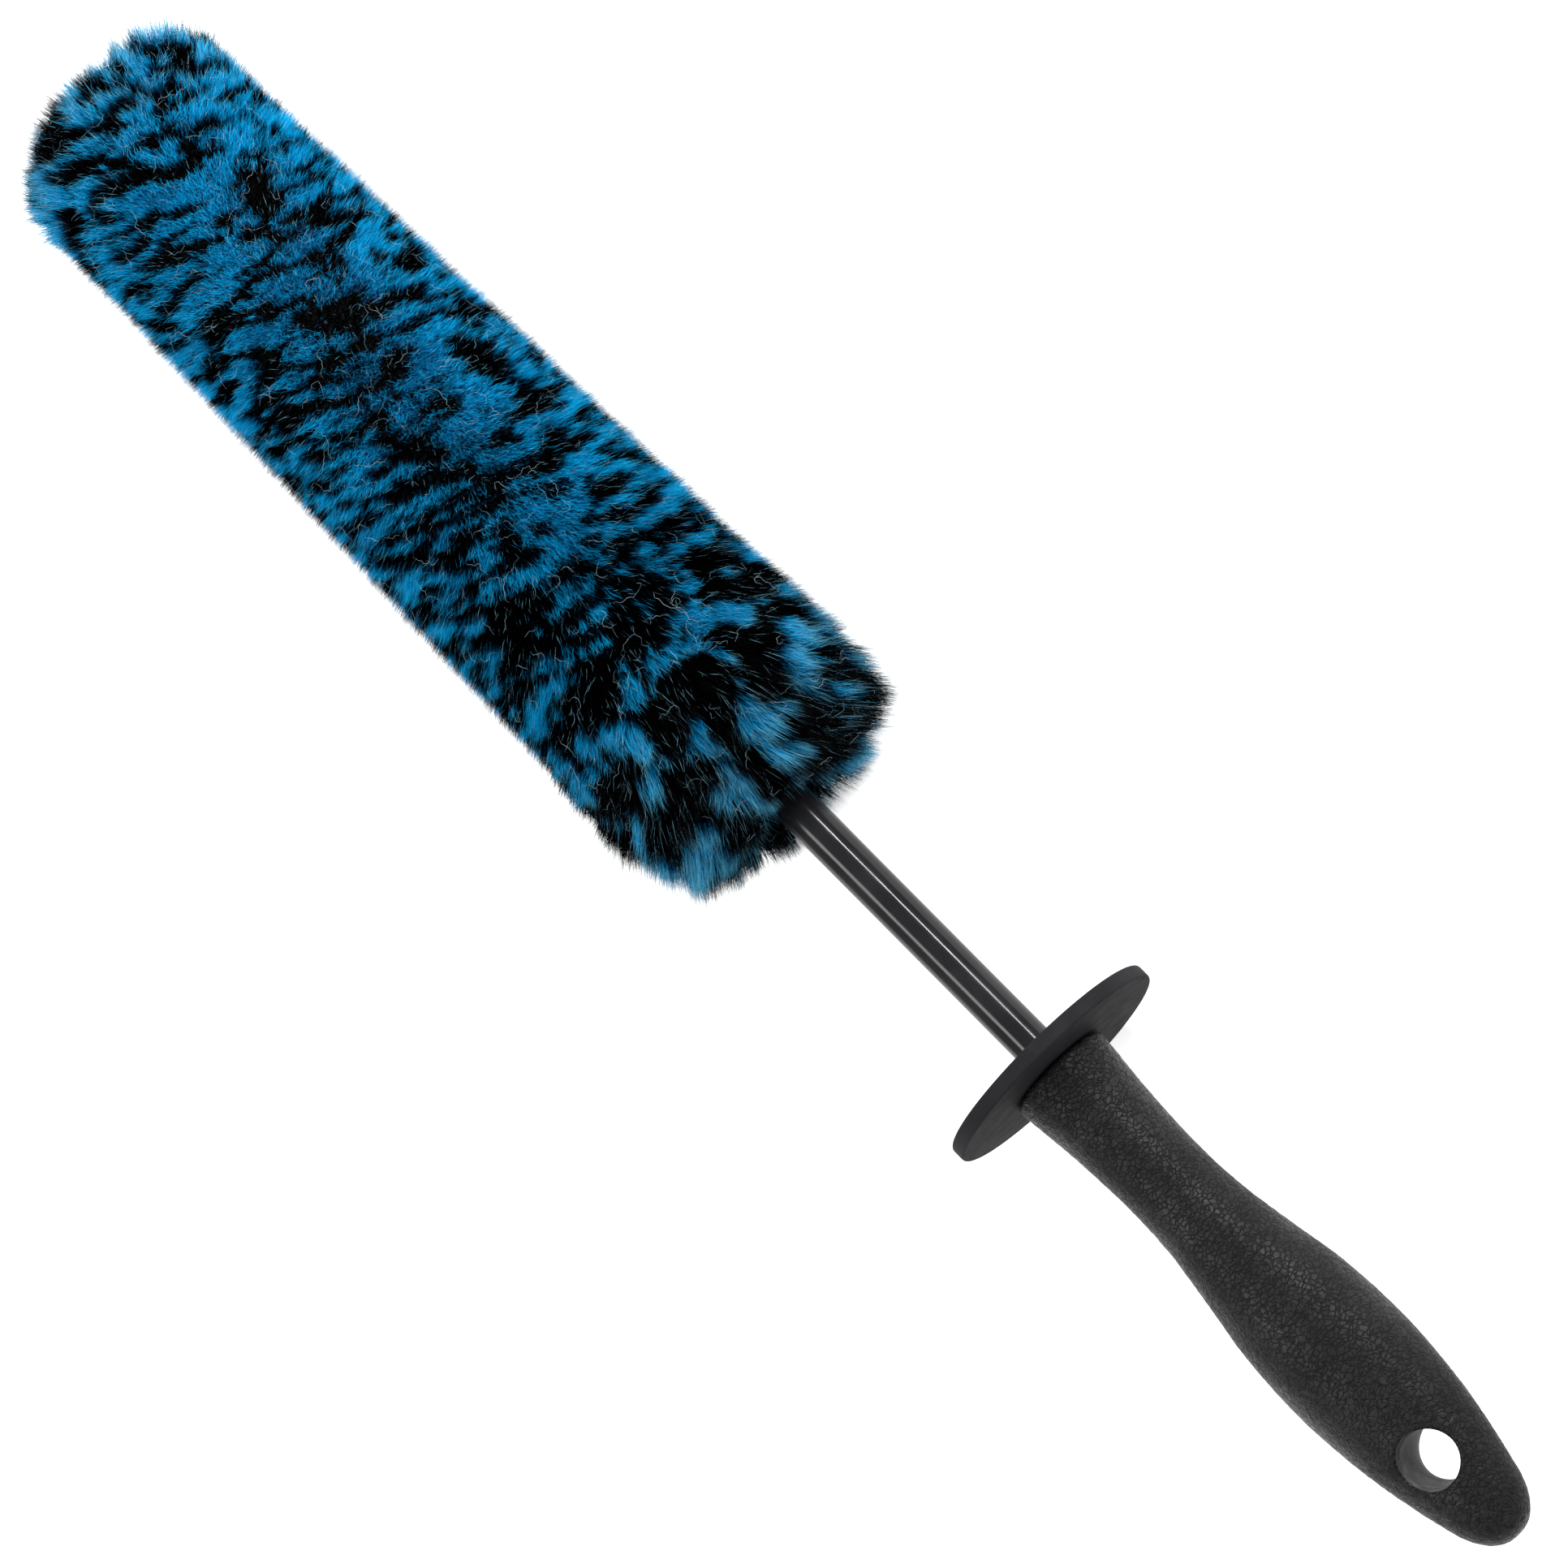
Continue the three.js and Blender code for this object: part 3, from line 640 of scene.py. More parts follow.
# the open hair of both ends is pale much further down than the close pile of the sides, partly from
# wear and partly as painted rim light
worn_and_rimlit_from = between(hair_tree, openness, 0.0, 1.0, 0.84, 0.58)
worn_and_rimlit_to = between(hair_tree, openness, 0.0, 1.0, 1.0, 0.85)
worn_and_rimlit = between(hair_tree, along, worn_and_rimlit_from, worn_and_rimlit_to)
worn_and_rimlit_blue = sums(hair_tree, "MULTIPLY", worn_and_rimlit, between(hair_tree, chance, 0.05, 0.85))
blue = mixed(hair_tree, worn_and_rimlit_blue, blue, BLUE_WORN_AND_RIMLIT_TIP)
# painted shade: each black hair darker towards its root
black = mixed(hair_tree, between(hair_tree, along, 0.2, 0.8), BLACK_PAINTED_SHADE, BLACK_HAIR)
# the points of the open black hair go grey, partly from wear and partly as painted rim light
worn_and_rimlit_black = between(hair_tree, along, 0.72, 1.0)
worn_and_rimlit_black = sums(hair_tree, "MULTIPLY", worn_and_rimlit_black, openness)
worn_and_rimlit_black = sums(hair_tree, "MULTIPLY", worn_and_rimlit_black, between(hair_tree, chance, 0.4, 1.0))
black = mixed(hair_tree, worn_and_rimlit_black, black, BLACK_WORN_AND_RIMLIT_TIP)
hair_colour = mixed(hair_tree, hair_black, blue, black)
# one hair in forty took no dye
missed = between(
    hair_tree, sums(hair_tree, "FRACT", sums(hair_tree, "MULTIPLY", chance, 61.0), 0.0), 0.97, 0.98
)
missed = sums(hair_tree, "MULTIPLY", missed, between(hair_tree, along, 0.2, 0.7))
feed(hair_tree, hair_shader.inputs["Base Color"], mixed(hair_tree, missed, hair_colour, UNDYED))


def fill(collection, name, values):
    collection.foreach_set(name, np.ascontiguousarray(values).ravel())


def triangle_mesh(name, points, faces):
    """A mesh straight from arrays of corners and of triangles."""
    mesh = bpy.data.meshes.new(name)
    mesh.vertices.add(len(points))
    fill(mesh.vertices, "co", points.astype(np.float32))
    mesh.loops.add(faces.size)
    fill(mesh.loops, "vertex_index", faces.astype(np.int32))
    mesh.polygons.add(len(faces))
    fill(mesh.polygons, "loop_start", np.arange(0, faces.size, 3, dtype=np.int32))
    mesh.update(calc_edges=True)
    return mesh


def write_values(mesh, name, kind, values):
    made = mesh.attributes.new(name, kind, "POINT")
    fill(made.data, "vector" if kind == "FLOAT_VECTOR" else "value", values.astype(np.float32))


def bake_map(mesh, hairs, along, spoke):
    """Gives every hair a small upright cell of its own on the map."""
    columns = math.ceil(math.sqrt(hairs * 5))
    rows = math.ceil(hairs / columns)
    cell = np.arange(hairs)
    left = (cell % columns)[:, None, None] + 0.15
    low = (cell // columns)[:, None, None] + 0.06
    u = (left + 0.7 * spoke[None]) / columns
    v = (low + 0.88 * along[None]) / rows
    layer = mesh.uv_layers.new(name="OFBake")
    fill(layer.data, "uv", np.stack([u, v], -1).astype(np.float32))


def hair_pieces(kind, members, ring_shares, ring_widths, half_width):
    """Three-sided hairs with a ring of corners at each share of their length and one at the point."""
    levels = len(ring_shares)
    top = 3 * levels
    triangles = [(0, 2, 1)]
    for level in range(levels - 1):
        for a in range(3):
            b = (a + 1) % 3
            low, high = 3 * level, 3 * level + 3
            triangles += [(low + a, low + b, high + b), (low + a, high + b, high + a)]
    triangles += [(top - 3 + a, top - 3 + (a + 1) % 3, top) for a in range(3)]
    triangles = np.array(triangles)
    along = np.array([share for share in ring_shares for _ in range(3)] + [1.0])
    spoke = np.where(triangles == top, 0.5, (triangles % 3) / 2)
    bend = tip_moved[members] - tip[members]
    sag = rng.normal(0, 1, bend.shape) * (0.0001 + 0.0003 * loose[members])
    path = []
    for share in (*ring_shares, 1.0):
        straight = root[members] + (tip - root)[members] * share
        path.append(straight + bend * share**1.8 + sag * math.sin(math.pi * share))
    way = unit(path[-1] - path[0])
    side = unit(np.cross(way, rng.normal(0, 1, way.shape)))
    other = np.cross(way, side)
    thickness = half_width * (0.75 + 0.5 * rng.random(len(members)))[:, None]
    rings = []
    for level, width in enumerate(ring_widths):
        for number in range(3):
            angle = number * 2 * math.pi / 3
            out = side * math.cos(angle) + other * math.sin(angle)
            rings.append(path[level] + out * thickness * width)
    rings.append(path[-1])
    corners = clear_of_rod(pressed(np.stack(rings, 1)))
    order = np.argsort(root[members, 0], kind="stable")
    count = math.ceil(len(members) * len(triangles) / MOST_TRIANGLES)
    made = []
    for number, chosen in enumerate(np.array_split(order, count), 1):
        name = f"{kind}_{number}"
        start = (np.arange(len(chosen)) * (top + 1))[:, None, None]
        faces = (triangles[None] + start).reshape(-1, 3)
        mesh = triangle_mesh(name, corners[chosen].reshape(-1, 3), faces)
        own_place = np.repeat(print_place[members][chosen], top + 1, axis=0)
        own_open = np.repeat(loose[members, 0][chosen], top + 1)
        own_chance = np.repeat(hair_chance[members][chosen], top + 1)
        write_values(mesh, "hair_place", "FLOAT_VECTOR", own_place)
        write_values(mesh, "hair_open", "FLOAT", own_open)
        write_values(mesh, "hair_along", "FLOAT", np.tile(along, len(chosen)))
        write_values(mesh, "hair_chance", "FLOAT", own_chance)
        bake_map(mesh, len(chosen), along[triangles], spoke)
        mesh.shade_smooth()
        band = add_piece(name, mesh)
        band.data.materials.append(hair_finish)
        made.append(band)
    return made


open_hair = np.nonzero(loose[:, 0] > 0.05)[0]
close_hair = np.nonzero(loose[:, 0] <= 0.05)[0]
pile_bands = [
    *hair_pieces("pile_side", close_hair, (0.0,), (1.0,), SIDE_HALF_WIDTH),
    *hair_pieces("pile_ends", open_hair, (0.0, 0.5), (1.0, 0.8), END_HALF_WIDTH),
]

# loose microfibres that were pulled out of the pile and lie on it, pale because their dye wore off
STRAY_COUNT = 900
STRAY_STEP = 0.0008
STRAY_HALF_WIDTH = 0.000028
STRAY_LIFT = 0.0004
STRAY_BASE = (0.4, 0.55, 0.64, 1)
STRAY_DULL = (0.08, 0.24, 0.34, 1)
STRAY_PALE = (0.4, 0.55, 0.62, 1)
OUTLINE_LENGTH = 0.33  # of the pile's section, about
axis_point = np.array([0.0, 0.0, axis_z])
stray_points = []
stray_faces = []
stray_share, stray_turn = scattered(STRAY_COUNT, 0.02)
for number in range(STRAY_COUNT):
    steps = int(rng.integers(4, 13))
    share = float(np.clip(stray_share[number], 0.03, 0.985))
    turn = float(stray_turn[number])
    heading = rng.uniform(0, 2 * math.pi)
    line = []
    for step in range(steps):
        flat = on_line(tips_line, np.array([share]))
        line.append(round_the_axis(flat, np.array([turn]))[0])
        heading += rng.normal(0, 0.6)
        share = np.clip(share + math.cos(heading) * STRAY_STEP / OUTLINE_LENGTH, 0.02, 0.99)
        turn += math.sin(heading) * STRAY_STEP / max(flat[0, 1], 0.006)
    line = np.array(line)
    outward = line - axis_point
    outward[:, 0] = 0
    lift = STRAY_LIFT * (0.2 + rng.random()) * (1 + 1.5 * rng.random(steps))[:, None]
    line = line + unit(outward) * lift + rng.normal(0, 0.00012, line.shape)
    way = unit(np.gradient(line, axis=0))
    across = unit(np.cross(way, unit(outward) + 1e-4))
    upward = np.cross(way, across)
    base = len(stray_points)
    for step in range(steps):
        narrow = STRAY_HALF_WIDTH * (1 - 0.7 * abs(2 * step / (steps - 1) - 1) ** 2)
        for spoke in range(3):
            angle = spoke * 2 * math.pi / 3
            out = across[step] * math.cos(angle) + upward[step] * math.sin(angle)
            stray_points.append(line[step] + out * narrow)
    for step in range(steps - 1):
        for a in range(3):
            b = (a + 1) % 3
            low = base + 3 * step
            stray_faces += [(low + a, low + b, low + 3 + b), (low + a, low + 3 + b, low + 3 + a)]
    end = base + 3 * (steps - 1)
    stray_faces += [(base, base + 2, base + 1), (end, end + 1, end + 2)]
stray_points = clear_of_rod(pressed(np.array(stray_points)))
stray_finish, stray_tree, stray_shader = new_finish("stray_fibre", STRAY_BASE, 0.7)
stray_tone = between(stray_tree, grain(stray_tree, place_of(stray_tree), 160.0), 0.35, 0.65)
feed(
    stray_tree, stray_shader.inputs["Base Color"],
    mixed(stray_tree, stray_tone, STRAY_DULL, STRAY_PALE),
)
stray_mesh = triangle_mesh("stray_fibres", stray_points, np.array(stray_faces))
stray_piece = add_piece("stray_fibres", stray_mesh)
stray_piece.data.materials.append(stray_finish)

for piece in (foot_piece, *pile_bands, stray_piece):
    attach(piece, "brush")
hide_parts("pile_cover")

# ---------------- inside of the head
# What carries the pile, all of it covered: knitted cloth with its sewn seam and two ties, a foam
# tube on a moulded spool, two steel pins through the rod, and a rubber nose over the rod's end.


REAL_EDGE_DEG = 35.0
CLOTH_BLUE = (0.03, 0.16, 0.26, 1)
CLOTH_DARK = (0.012, 0.07, 0.13, 1)
CLOTH_LIGHT = (0.05, 0.22, 0.34, 1)


def soften(node):
    """Shades a CAD node smoothly over its shallow facets and leaves its real edges sharp."""
    group = bpy.data.node_groups.get("soften")
    if group is None:
        group = bpy.data.node_groups.new("soften", "GeometryNodeTree")
        group.interface.new_socket("Mesh", in_out="INPUT", socket_type="NodeSocketGeometry")
        group.interface.new_socket("Mesh", in_out="OUTPUT", socket_type="NodeSocketGeometry")
        start = put(group, "NodeGroupInput").outputs["Mesh"]
        joined = put(group, "GeometryNodeMergeByDistance", Geometry=start, Distance=1e-6)
        angle = put(group, "GeometryNodeInputMeshEdgeAngle").outputs["Unsigned Angle"]
        shallow = put(group, "FunctionNodeCompare", {"operation": "LESS_THAN"})
        feed(group, shallow.inputs[0], angle)
        feed(group, shallow.inputs[1], math.radians(REAL_EDGE_DEG))
        round_faces = put(
            group, "GeometryNodeSetShadeSmooth", {"domain": "FACE"},
            Geometry=joined.outputs["Geometry"],
        )
        smooth = put(
            group, "GeometryNodeSetShadeSmooth", {"domain": "EDGE"},
            Geometry=round_faces.outputs["Geometry"],
        )
        feed(group, smooth.inputs["Shade Smooth"], shallow.outputs[0])
        feed(group, put(group, "NodeGroupOutput").inputs["Mesh"], smooth.outputs["Geometry"])
    node.modifiers.new("soften", "NODES").node_group = group


def refinish(name, finish):
    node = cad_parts[name]
    node.data.materials.clear()
    node.data.materials.append(finish)
    soften(node)


def two_tone(name, dark, light, scale, roughness, bump, **inputs):
    """A finish of two close colours in a soft grain, with the same grain as fine relief."""
    finish, tree, shader = new_finish(name, dark, roughness, **inputs)
    place = place_of(tree)
    speckle = between(tree, grain(tree, place, scale, 4.0), 0.38, 0.62)
    feed(tree, shader.inputs["Base Color"], mixed(tree, speckle, dark, light))
    relief(tree, shader, grain(tree, place, scale * 2, 4.0), bump)
    return finish


# knitted polyester cloth: rows of loops, sky blue yarn gone dark with the dye of the print
cloth_finish, cloth_tree, cloth_shader = new_finish("knitted_cloth", CLOTH_BLUE, 0.9)
cloth_place = place_of(cloth_tree)
cloth_rows, cloth_loops = [
    put(
        cloth_tree, "ShaderNodeTexWave", {"bands_direction": way},
        Vector=cloth_place, Scale=scale, Distortion=waver,
    ).outputs["Fac"]
    for way, scale, waver in (("X", 320.0, 0.6), ("Y", 240.0, 0.8))
]
cloth_weave = sums(cloth_tree, "MULTIPLY", cloth_rows, cloth_loops)
cloth_colour = mixed(cloth_tree, cloth_weave, CLOTH_DARK, CLOTH_LIGHT)
feed(cloth_tree, cloth_shader.inputs["Base Color"], cloth_colour)
relief(cloth_tree, cloth_shader, cloth_weave, 0.0003)
refinish("backing_cloth", cloth_finish)

# each finish: its two colours, grain per metre, roughness, relief, metal; then the pieces it is on
for name, dark, light, scale, roughness, bump, metal, pieces in (
    (
        "polyester_thread", (0.02, 0.02, 0.024, 1), (0.07, 0.07, 0.08, 1), 1500.0, 0.8, 0.0001, 0.0,
        ("seam_thread", "tip_tie", "base_tie"),
    ),
    (
        "open_cell_foam", (0.3, 0.31, 0.33, 1), (0.52, 0.53, 0.55, 1), 900.0, 0.95, 0.0006, 0.0,
        ("foam_sleeve",),
    ),
    (
        "bumper_rubber", (0.03, 0.03, 0.033, 1), (0.06, 0.06, 0.065, 1), 500.0, 0.7, 0.0001, 0.0,
        ("tip_bumper",),
    ),
    (
        "spool_plastic", (0.17, 0.18, 0.19, 1), (0.22, 0.23, 0.24, 1), 260.0, 0.45, 0.00005, 0.0,
        ("head_core",),
    ),
    (
        "drawn_steel", (0.42, 0.43, 0.45, 1), (0.6, 0.61, 0.63, 1), 700.0, 0.3, 0.00002, 1.0,
        ("core_pin_tip", "core_pin_base"),
    ),
):
    finish = two_tone(name, dark, light, scale, roughness, bump, Metallic=metal)
    for piece in pieces:
        refinish(piece, finish)

# ---------------- rod
# One straight round bar of black plastic with a polished skin. It is pinned in the head's spool and
# its grooved end is moulded into the handle; only the stretch between ruff and guard is bare.
ROD_AROUND = 192
ROD_CHAMFER = 0.0008
ROD_BLACK = (0.0065, 0.0065, 0.0078, 1)
ROD_RUBBED = (0.011, 0.011, 0.0125, 1)

rod_radius = (rod_high.y - rod_low.y) / 2
rod_stations = np.linspace(rod_low.x + ROD_CHAMFER, rod_high.x - ROD_CHAMFER, 40)
rod_line = [(rod_low.x, rod_radius - ROD_CHAMFER)]
rod_line += [(x, rod_radius) for x in rod_stations]
rod_line += [(rod_high.x, rod_radius - ROD_CHAMFER)]
rod_piece = add_piece("bare_rod", grid_mesh("bare_rod", turned_rings(rod_line, ROD_AROUND)))
rod_finish, rod_tree, rod_shader = new_finish(
    "polished_black", ROD_BLACK, 0.2, Specular_IOR_Level=0.26
)
rod_place = place_of(rod_tree)
rod_long = put(rod_tree, "ShaderNodeMapping", Vector=rod_place)
rod_long.inputs["Scale"].default_value = (0.03, 1.0, 1.0)
rod_lines = grain(rod_tree, rod_long.outputs["Vector"], 3200.0, 3.0)
rod_smudge = grain(rod_tree, rod_place, 70.0, 3.0)
feed(
    rod_tree, rod_shader.inputs["Base Color"],
    mixed(rod_tree, between(rod_tree, rod_smudge, 0.4, 0.65), ROD_BLACK, ROD_RUBBED),
)
rod_gloss = sums(
    rod_tree, "ADD", between(rod_tree, rod_lines, 0.45, 0.75, 0.0, 0.06),
    between(rod_tree, rod_smudge, 0.35, 0.65, 0.1, 0.16),
)
feed(rod_tree, rod_shader.inputs["Roughness"], rod_gloss)
relief(rod_tree, rod_shader, rod_lines, 0.000004)
rod_piece.data.materials.append(rod_finish)
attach(rod_piece, "brush")
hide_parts("shaft_rod")

# ---------------- hand guard
# A flat round disc of stiff rubber, moulded with a small round on both rims. Its bore grips the rod,
# so it stays where it is pushed; it keeps the hand out of the wheel.
GUARD_AROUND = 256
GUARD_RIM = 0.0006
GUARD_BORE_GAP = 0.0001
GUARD_BORE_ROUND = 0.0003
RIM_STEPS = 7  # points on each rounded edge
GUARD_DARK = (0.0145, 0.0135, 0.0155, 1)
GUARD_LIGHT = (0.019, 0.018, 0.02, 1)

guard_low, guard_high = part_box("guard_disc")
guard_radius = (guard_high.y - guard_low.y) / 2
guard_bore = rod_radius + GUARD_BORE_GAP
bore_edge = guard_bore + GUARD_BORE_ROUND


def rim(corner, radius, start_deg):
    """A rounded edge: a quarter arc about corner from a start angle, points [along, radius]."""
    angles = np.radians(start_deg + np.linspace(0, 90, RIM_STEPS))
    return [(corner[0] + radius * math.cos(a), corner[1] + radius * math.sin(a)) for a in angles]


guard_line = [
    *rim((guard_high.x - GUARD_RIM, guard_radius - GUARD_RIM), GUARD_RIM, 0),
    *rim((guard_low.x + GUARD_RIM, guard_radius - GUARD_RIM), GUARD_RIM, 90),
    *rim((guard_low.x + GUARD_BORE_ROUND, bore_edge), GUARD_BORE_ROUND, 180),
    *rim((guard_high.x - GUARD_BORE_ROUND, bore_edge), GUARD_BORE_ROUND, 270),
]


def closed_ring_mesh(name, line, around):
    """A closed turned ring: points [along, radius] that go once round its section."""
    rings = turned_rings(line, around)
    count = len(line)
    first = np.arange(count)[:, None] * around + np.arange(around)[None, :]
    after = np.roll(first, -1, axis=1)
    above = np.roll(first, -1, axis=0)
    above_after = np.roll(after, -1, axis=0)
    quads = np.stack([first, above, above_after, after], -1).reshape(-1, 4)
    mesh = bpy.data.meshes.new(name)
    mesh.from_pydata(rings.reshape(-1, 3).tolist(), [], quads.tolist())
    mesh.shade_smooth()
    return mesh


guard_piece = add_piece("hand_guard", closed_ring_mesh("hand_guard", guard_line, GUARD_AROUND))
guard_finish, guard_tree, guard_shader = new_finish(
    "guard_rubber", GUARD_DARK, 0.6, Specular_IOR_Level=0.03
)
guard_place = place_of(guard_tree)
guard_cloud = between(guard_tree, grain(guard_tree, guard_place, 90.0, 4.0), 0.35, 0.7)
feed(
    guard_tree, guard_shader.inputs["Base Color"],
    mixed(guard_tree, guard_cloud, GUARD_DARK, GUARD_LIGHT),
)
feed(
    guard_tree, guard_shader.inputs["Roughness"],
    between(guard_tree, grain(guard_tree, guard_place, 240.0, 4.0), 0.3, 0.7, 0.6, 0.68),
)
relief(guard_tree, guard_shader, grain(guard_tree, guard_place, 2400.0, 2.0), 0.000004)
guard_piece.data.materials.append(guard_finish)
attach(guard_piece, "guard")
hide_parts("guard_disc")

# ---------------- handle skin
# Soft black rubber moulded over the hard insert, with a fine leather grain. It flares at the mouth,
# narrows to a waist, swells into a belly for the palm and ends round, with the hanging hole.
MOUTH = (0.0, 0.0124, 0.0124)  # stations: from the mouth, half width, half thickness
WAIST = (0.032085, 0.01015, 0.01015)
BELLY = (0.0899775, 0.01585, 0.0134)
TAIL_HALF = (0.0074, 0.0064)
NOSE_FROM_END = 0.0105
MOUTH_EDGE = 0.0012
EYE_FROM_END = 0.0238
EYE_RADIUS = 0.00626  # 0.06 mm wider than the insert's own hole, whose wall shows in the middle
EYE_DRAFT = 0.07
EYE_ROUND = 0.0007  # rounded edge of the hanging hole
SOCKET_RADIUS = 0.0077
SOCKET_DEPTH = 0.0795
LINE_STEPS = 40  # points between two stations
STEP_TURN = (0.055, 0.022)  # of the skin's net, coarse and near the hole: round the handle
STEP_BODY = (0.0007, 0.00025)  # and along it
NEAR_EYE_TURN = 0.72
NEAR_EYE = 0.009
NOSE_STEPS = 26
NOSE_FULLNESS = 2.5
CREASE_SCALE = 900.0
CREASE_HEIGHT = 0.00009
CELL_WANDER = 0.0022  # how far the grain's cells are pulled out of shape
EDGE_HEIGHT = 0.0095  # of the hole's rounded edge over the axis
WALL_SLACK = 0.00004
HOLE_REACH = 0.02
HOLE_BASE = (0.05, 0.05, 0.052, 1)
HOLE_DARK = (0.052, 0.052, 0.054, 1)
HOLE_LIGHT = (0.088, 0.088, 0.092, 1)
# the darkest grip colour is painted shade in the grain's creases
GRIP_CREASE_SHADE = (0.0008, 0.0007, 0.0009, 1)
GRIP_MIDDLE = (0.008, 0.0075, 0.0083, 1)
# the lightest grip colour is painted sheen
GRIP_PAINTED_SHEEN = (0.017, 0.0162, 0.0174, 1)

grip_low, grip_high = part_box("handle_grip")
handle_length = grip_high.x - grip_low.x
eye_x = grip_high.x - EYE_FROM_END


def stretch(start, end, shares):
    """Stations between two others: share of the way along, of the width and of the thickness."""
    start, end = np.array(start), np.array(end)
    return [start + (end - start) * np.array(share) for share in shares]


TAIL = (handle_length, *TAIL_HALF)
stations = np.array(
    [
        MOUTH,
        *stretch(MOUTH, WAIST, [(0.18, 0.25, 0.25), (0.5, 0.68, 0.68)]),
        WAIST,
        *stretch(WAIST, BELLY, [(0.22, 0.09, 0.12), (0.45, 0.43, 0.5), (0.7, 0.85, 0.9)]),
        BELLY,
        *stretch(BELLY, TAIL, [(0.32, 0.12, 0.4), (0.59, 0.39, 0.67)]),
        TAIL,
    ]
)


def smooth_through(points):
    """A smooth line through the points that keeps calm where they lie close together."""
    ends = np.vstack([2 * points[0] - points[1], points, 2 * points[-1] - points[-2]])
    found = []
    share = np.linspace(0, 1, LINE_STEPS, endpoint=False)[:, None]
    for p0, p1, p2, p3 in zip(ends, ends[1:], ends[2:], ends[3:]):
        d0, d1, d2 = (math.sqrt(np.linalg.norm(b - a)) for a, b in ((p0, p1), (p1, p2), (p2, p3)))
        leave = ((p1 - p0) / d0 - (p2 - p0) / (d0 + d1) + (p2 - p1) / d1) * d1
        arrive = ((p2 - p1) / d1 - (p3 - p1) / (d1 + d2) + (p3 - p2) / d2) * d1
        s2, s3 = share**2, share**3
        found.append(
            p1 * (2 * s3 - 3 * s2 + 1) + leave * (s3 - 2 * s2 + share)
            + p2 * (3 * s2 - 2 * s3) + arrive * (s3 - s2)
        )
    return np.vstack([*found, points[-1:]])


handle_line = smooth_through(stations)


def handle_at(x):
    return [np.interp(x, handle_line[:, 0], handle_line[:, k]) for k in (1, 2)]


def graded(low, high, coarse, fine, around, reach):
    """Stations from low to high, coarse apart, but fine within reach of a place."""
    found = [low]
    while found[-1] < high:
        near = abs(found[-1] + fine / 2 - around) < reach
        found.append(found[-1] + (fine if near else coarse))
    return np.array(found[:-1])


# angles round the handle, closer together over and under the hanging hole
side_turns = graded(-math.pi / 2, math.pi / 2, *STEP_TURN, 0.0, NEAR_EYE_TURN)
grip_turns = np.concatenate([side_turns, side_turns + math.pi])
eye_from_mouth = eye_x - grip_low.x
nose_from_mouth = handle_length - NOSE_FROM_END
body_x = graded(MOUTH_EDGE, nose_from_mouth, *STEP_BODY, eye_from_mouth, NEAR_EYE)
outer = [
    (x, -MOUTH_EDGE + MOUTH_EDGE * math.sqrt(1 - (1 - x / MOUTH_EDGE) ** 2), 1.0)
    for x in np.linspace(0, MOUTH_EDGE, RIM_STEPS)[:-1]
]
outer += [(x, 0.0, 1.0) for x in body_x]
nose = quarter((nose_from_mouth, 1), (handle_length, 0), NOSE_STEPS, NOSE_FULLNESS)
outer += [(x, 0.0, share) for x, share in nose[:-1]]
rings = []
for x, grow, share in outer:
    half_width, half_thickness = handle_at(x)
    y = (half_width + grow) * share * np.sin(grip_turns)
    z = (half_thickness + grow) * share * np.cos(grip_turns)
    rings.append(np.stack([np.full_like(y, grip_low.x + x), y, z], 1))
inner_x = np.linspace(SOCKET_DEPTH, 0, 12)
socket_y = SOCKET_RADIUS * np.sin(grip_turns)
socket_z = SOCKET_RADIUS * np.cos(grip_turns)
inner = [np.stack([np.full_like(socket_y, grip_low.x + x), socket_y, socket_z], 1) for x in inner_x]
skin_rings = np.stack([*inner, *rings])

# shallow creases of the leather grain, all over but for the mouth's and the hole's rounded edges
from_eye = np.hypot(skin_rings[..., 0] - eye_x, skin_rings[..., 1])
edge_start = EYE_RADIUS + EYE_DRAFT * EDGE_HEIGHT + EYE_ROUND
into_edge = np.clip(edge_start - from_eye, 0, EYE_ROUND)
drop = EYE_ROUND - np.sqrt(np.maximum(EYE_ROUND**2 - into_edge**2, 0))
skin_rings[..., 2] -= np.sign(skin_rings[..., 2]) * drop
outside = np.zeros(skin_rings.shape[:2], bool)
outside[len(inner) + RIM_STEPS - 1:] = True
ways = skin_rings.copy()
ways[..., 0] = 0
ways = unit(ways)
for i, j in zip(*np.nonzero(outside & (from_eye > edge_start - EYE_ROUND / 2))):
    spot = Vector(skin_rings[i, j]) * CREASE_SCALE
    crease = noise.multi_fractal(spot, 0.8, 2.1, 3) - 0.75
    skin_rings[i, j] += ways[i, j] * CREASE_HEIGHT * max(min(crease, 1), -1)
skin_rings[..., 2] += axis_z

grip_piece = add_piece("grip_skin", grid_mesh("grip_skin", skin_rings))
hole_wide = EYE_RADIUS + EYE_DRAFT * HOLE_REACH
hole_line = [(-HOLE_REACH, hole_wide), (0, EYE_RADIUS), (HOLE_REACH, hole_wide)]
hole_turns = np.linspace(0, 2 * math.pi, 128, endpoint=False)
hole_rings = []
for z, r in hole_line:
    ring_x = eye_x + r * np.cos(hole_turns)
    hole_rings.append(np.stack([ring_x, r * np.sin(hole_turns), np.full_like(ring_x, axis_z + z)], 1))
hole_cutter = add_piece("hole_cutter", grid_mesh("hole_cutter", np.stack(hole_rings)))
cut = grip_piece.modifiers.new("hole", "BOOLEAN")
cut.operation = "DIFFERENCE"
cut.solver = "EXACT"
cut.object = hole_cutter
bpy.context.view_layer.objects.active = grip_piece
bpy.ops.object.modifier_apply(modifier=cut.name)
bpy.data.objects.remove(hole_cutter)

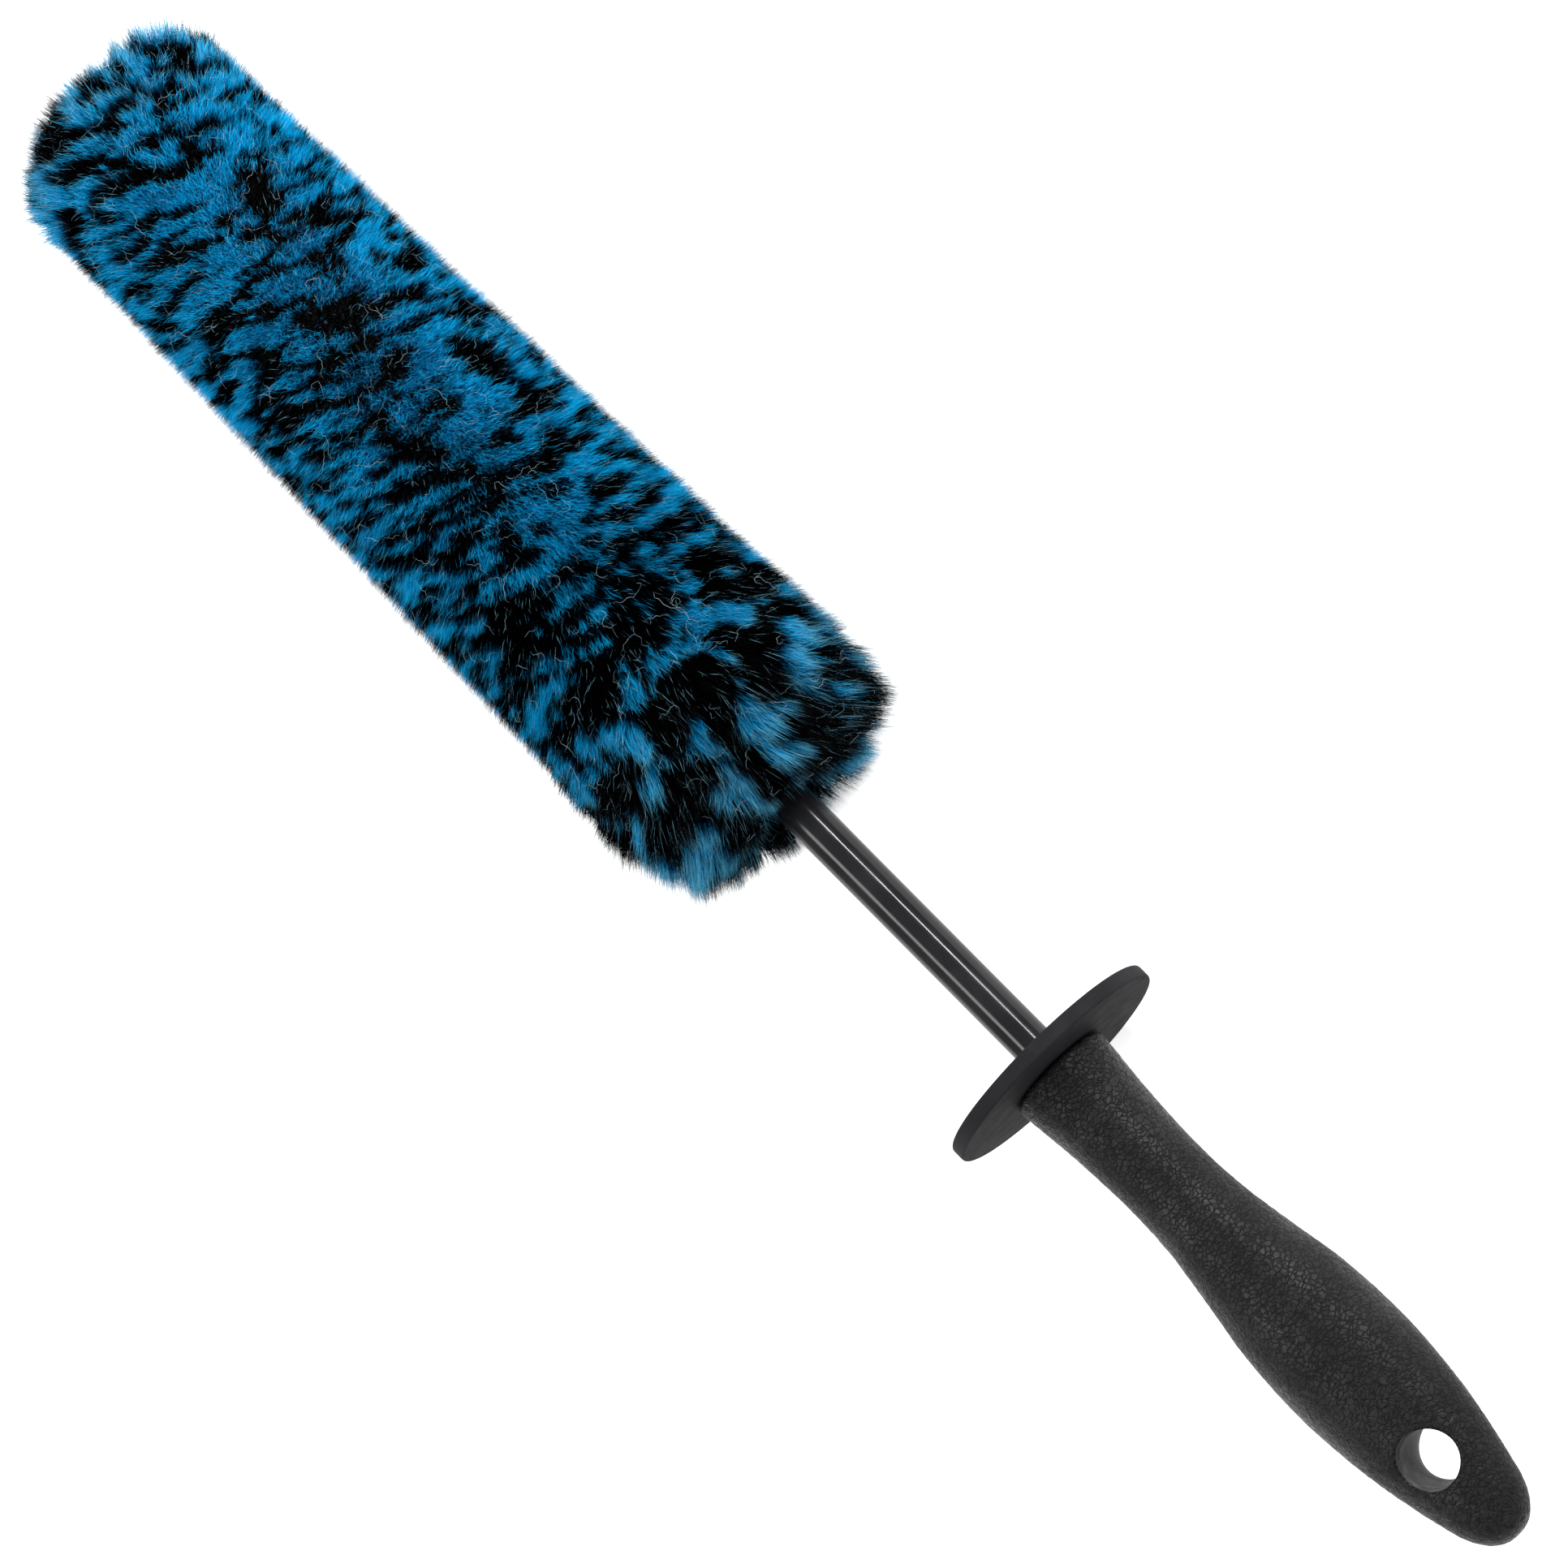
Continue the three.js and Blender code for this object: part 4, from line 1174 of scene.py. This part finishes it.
grip_finish, grip_tree, grip_shader = new_finish(
    "leather_grain_rubber", GRIP_CREASE_SHADE, 0.6, Specular_IOR_Level=0.17
)
grip_place = place_of(grip_tree)
grip_cells = put(
    grip_tree, "ShaderNodeTexVoronoi", {"feature": "DISTANCE_TO_EDGE"}, Scale=820.0,
)
grip_wander = put(grip_tree, "ShaderNodeTexNoise", Vector=grip_place, Scale=520.0, Detail=3.0)
grip_shift = scaled(grip_tree, grip_wander.outputs["Color"], CELL_WANDER)
grip_moved = added(grip_tree, grip_place, grip_shift)
feed(grip_tree, grip_cells.inputs["Vector"], grip_moved)
grip_creases = between(grip_tree, grip_cells.outputs["Distance"], 0.0, 0.16)
grip_fine = grain(grip_tree, grip_moved, 620.0, 4.0, 0.65)
grip_height = sums(
    grip_tree, "ADD", sums(grip_tree, "MULTIPLY", grip_creases, 0.45), grip_fine
)
# painted shade: the grain's creases are painted darker than its tops, and the tops are also glossier
grip_tops_over_crease_shade = between(grip_tree, grip_height, 0.55, 1.1)
# painted sheen: broad patches of the grain's tops are lighter, where the same cloud also makes the
# rubber glossier
grip_gloss_and_sheen_cloud = between(grip_tree, grain(grip_tree, grip_place, 45.0, 3.0), 0.35, 0.7)
grip_colour = mixed(grip_tree, grip_tops_over_crease_shade, GRIP_CREASE_SHADE, GRIP_MIDDLE)
grip_colour = mixed(
    grip_tree, sums(grip_tree, "MULTIPLY", grip_tops_over_crease_shade, grip_gloss_and_sheen_cloud), grip_colour, GRIP_PAINTED_SHEEN
)
feed(grip_tree, grip_shader.inputs["Base Color"], grip_colour)
grip_gloss = sums(
    grip_tree, "ADD", between(grip_tree, grip_tops_over_crease_shade, 0, 1, 0.16, 0.0),
    between(grip_tree, grip_gloss_and_sheen_cloud, 0, 1, 0.4, 0.28),
)
feed(grip_tree, grip_shader.inputs["Roughness"], grip_gloss)
relief(grip_tree, grip_shader, grip_height, 0.00028)

# inside the hole the rubber is smooth, from the polished core pin of the mould
hole_finish, hole_tree, hole_shader = new_finish(
    "hole_rubber", HOLE_BASE, 0.6, Specular_IOR_Level=0.04
)
hole_place = place_of(hole_tree)
hole_cloud = between(hole_tree, grain(hole_tree, hole_place, 180.0, 3.0), 0.35, 0.65)
feed(
    hole_tree, hole_shader.inputs["Base Color"],
    mixed(hole_tree, hole_cloud, HOLE_DARK, HOLE_LIGHT),
)
grip_piece.data.materials.append(grip_finish)
grip_piece.data.materials.append(hole_finish)
for face in grip_piece.data.polygons:
    middle = face.center
    radius = math.hypot(middle.x - eye_x, middle.y)
    wall = EYE_RADIUS + EYE_DRAFT * abs(middle.z - axis_z)
    face.material_index = 1 if radius < wall + WALL_SLACK else 0
    face.use_smooth = True
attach(grip_piece, "brush")
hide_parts("handle_grip")

# ---------------- handle insert
# Hard ribbed core of glass-filled plastic that the rod is moulded into. It is covered by the skin,
# and shows only as the smooth wall halfway down the hanging hole.
insert_finish = two_tone(
    "insert_plastic", HOLE_DARK, HOLE_LIGHT, 240.0, 0.6, 0.00001, Specular_IOR_Level=0.04
)
refinish("handle_core", insert_finish)

# ---------------- end
# The box round the brush as shown, with its hairs and its remade rod, guard and skin.
low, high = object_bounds()
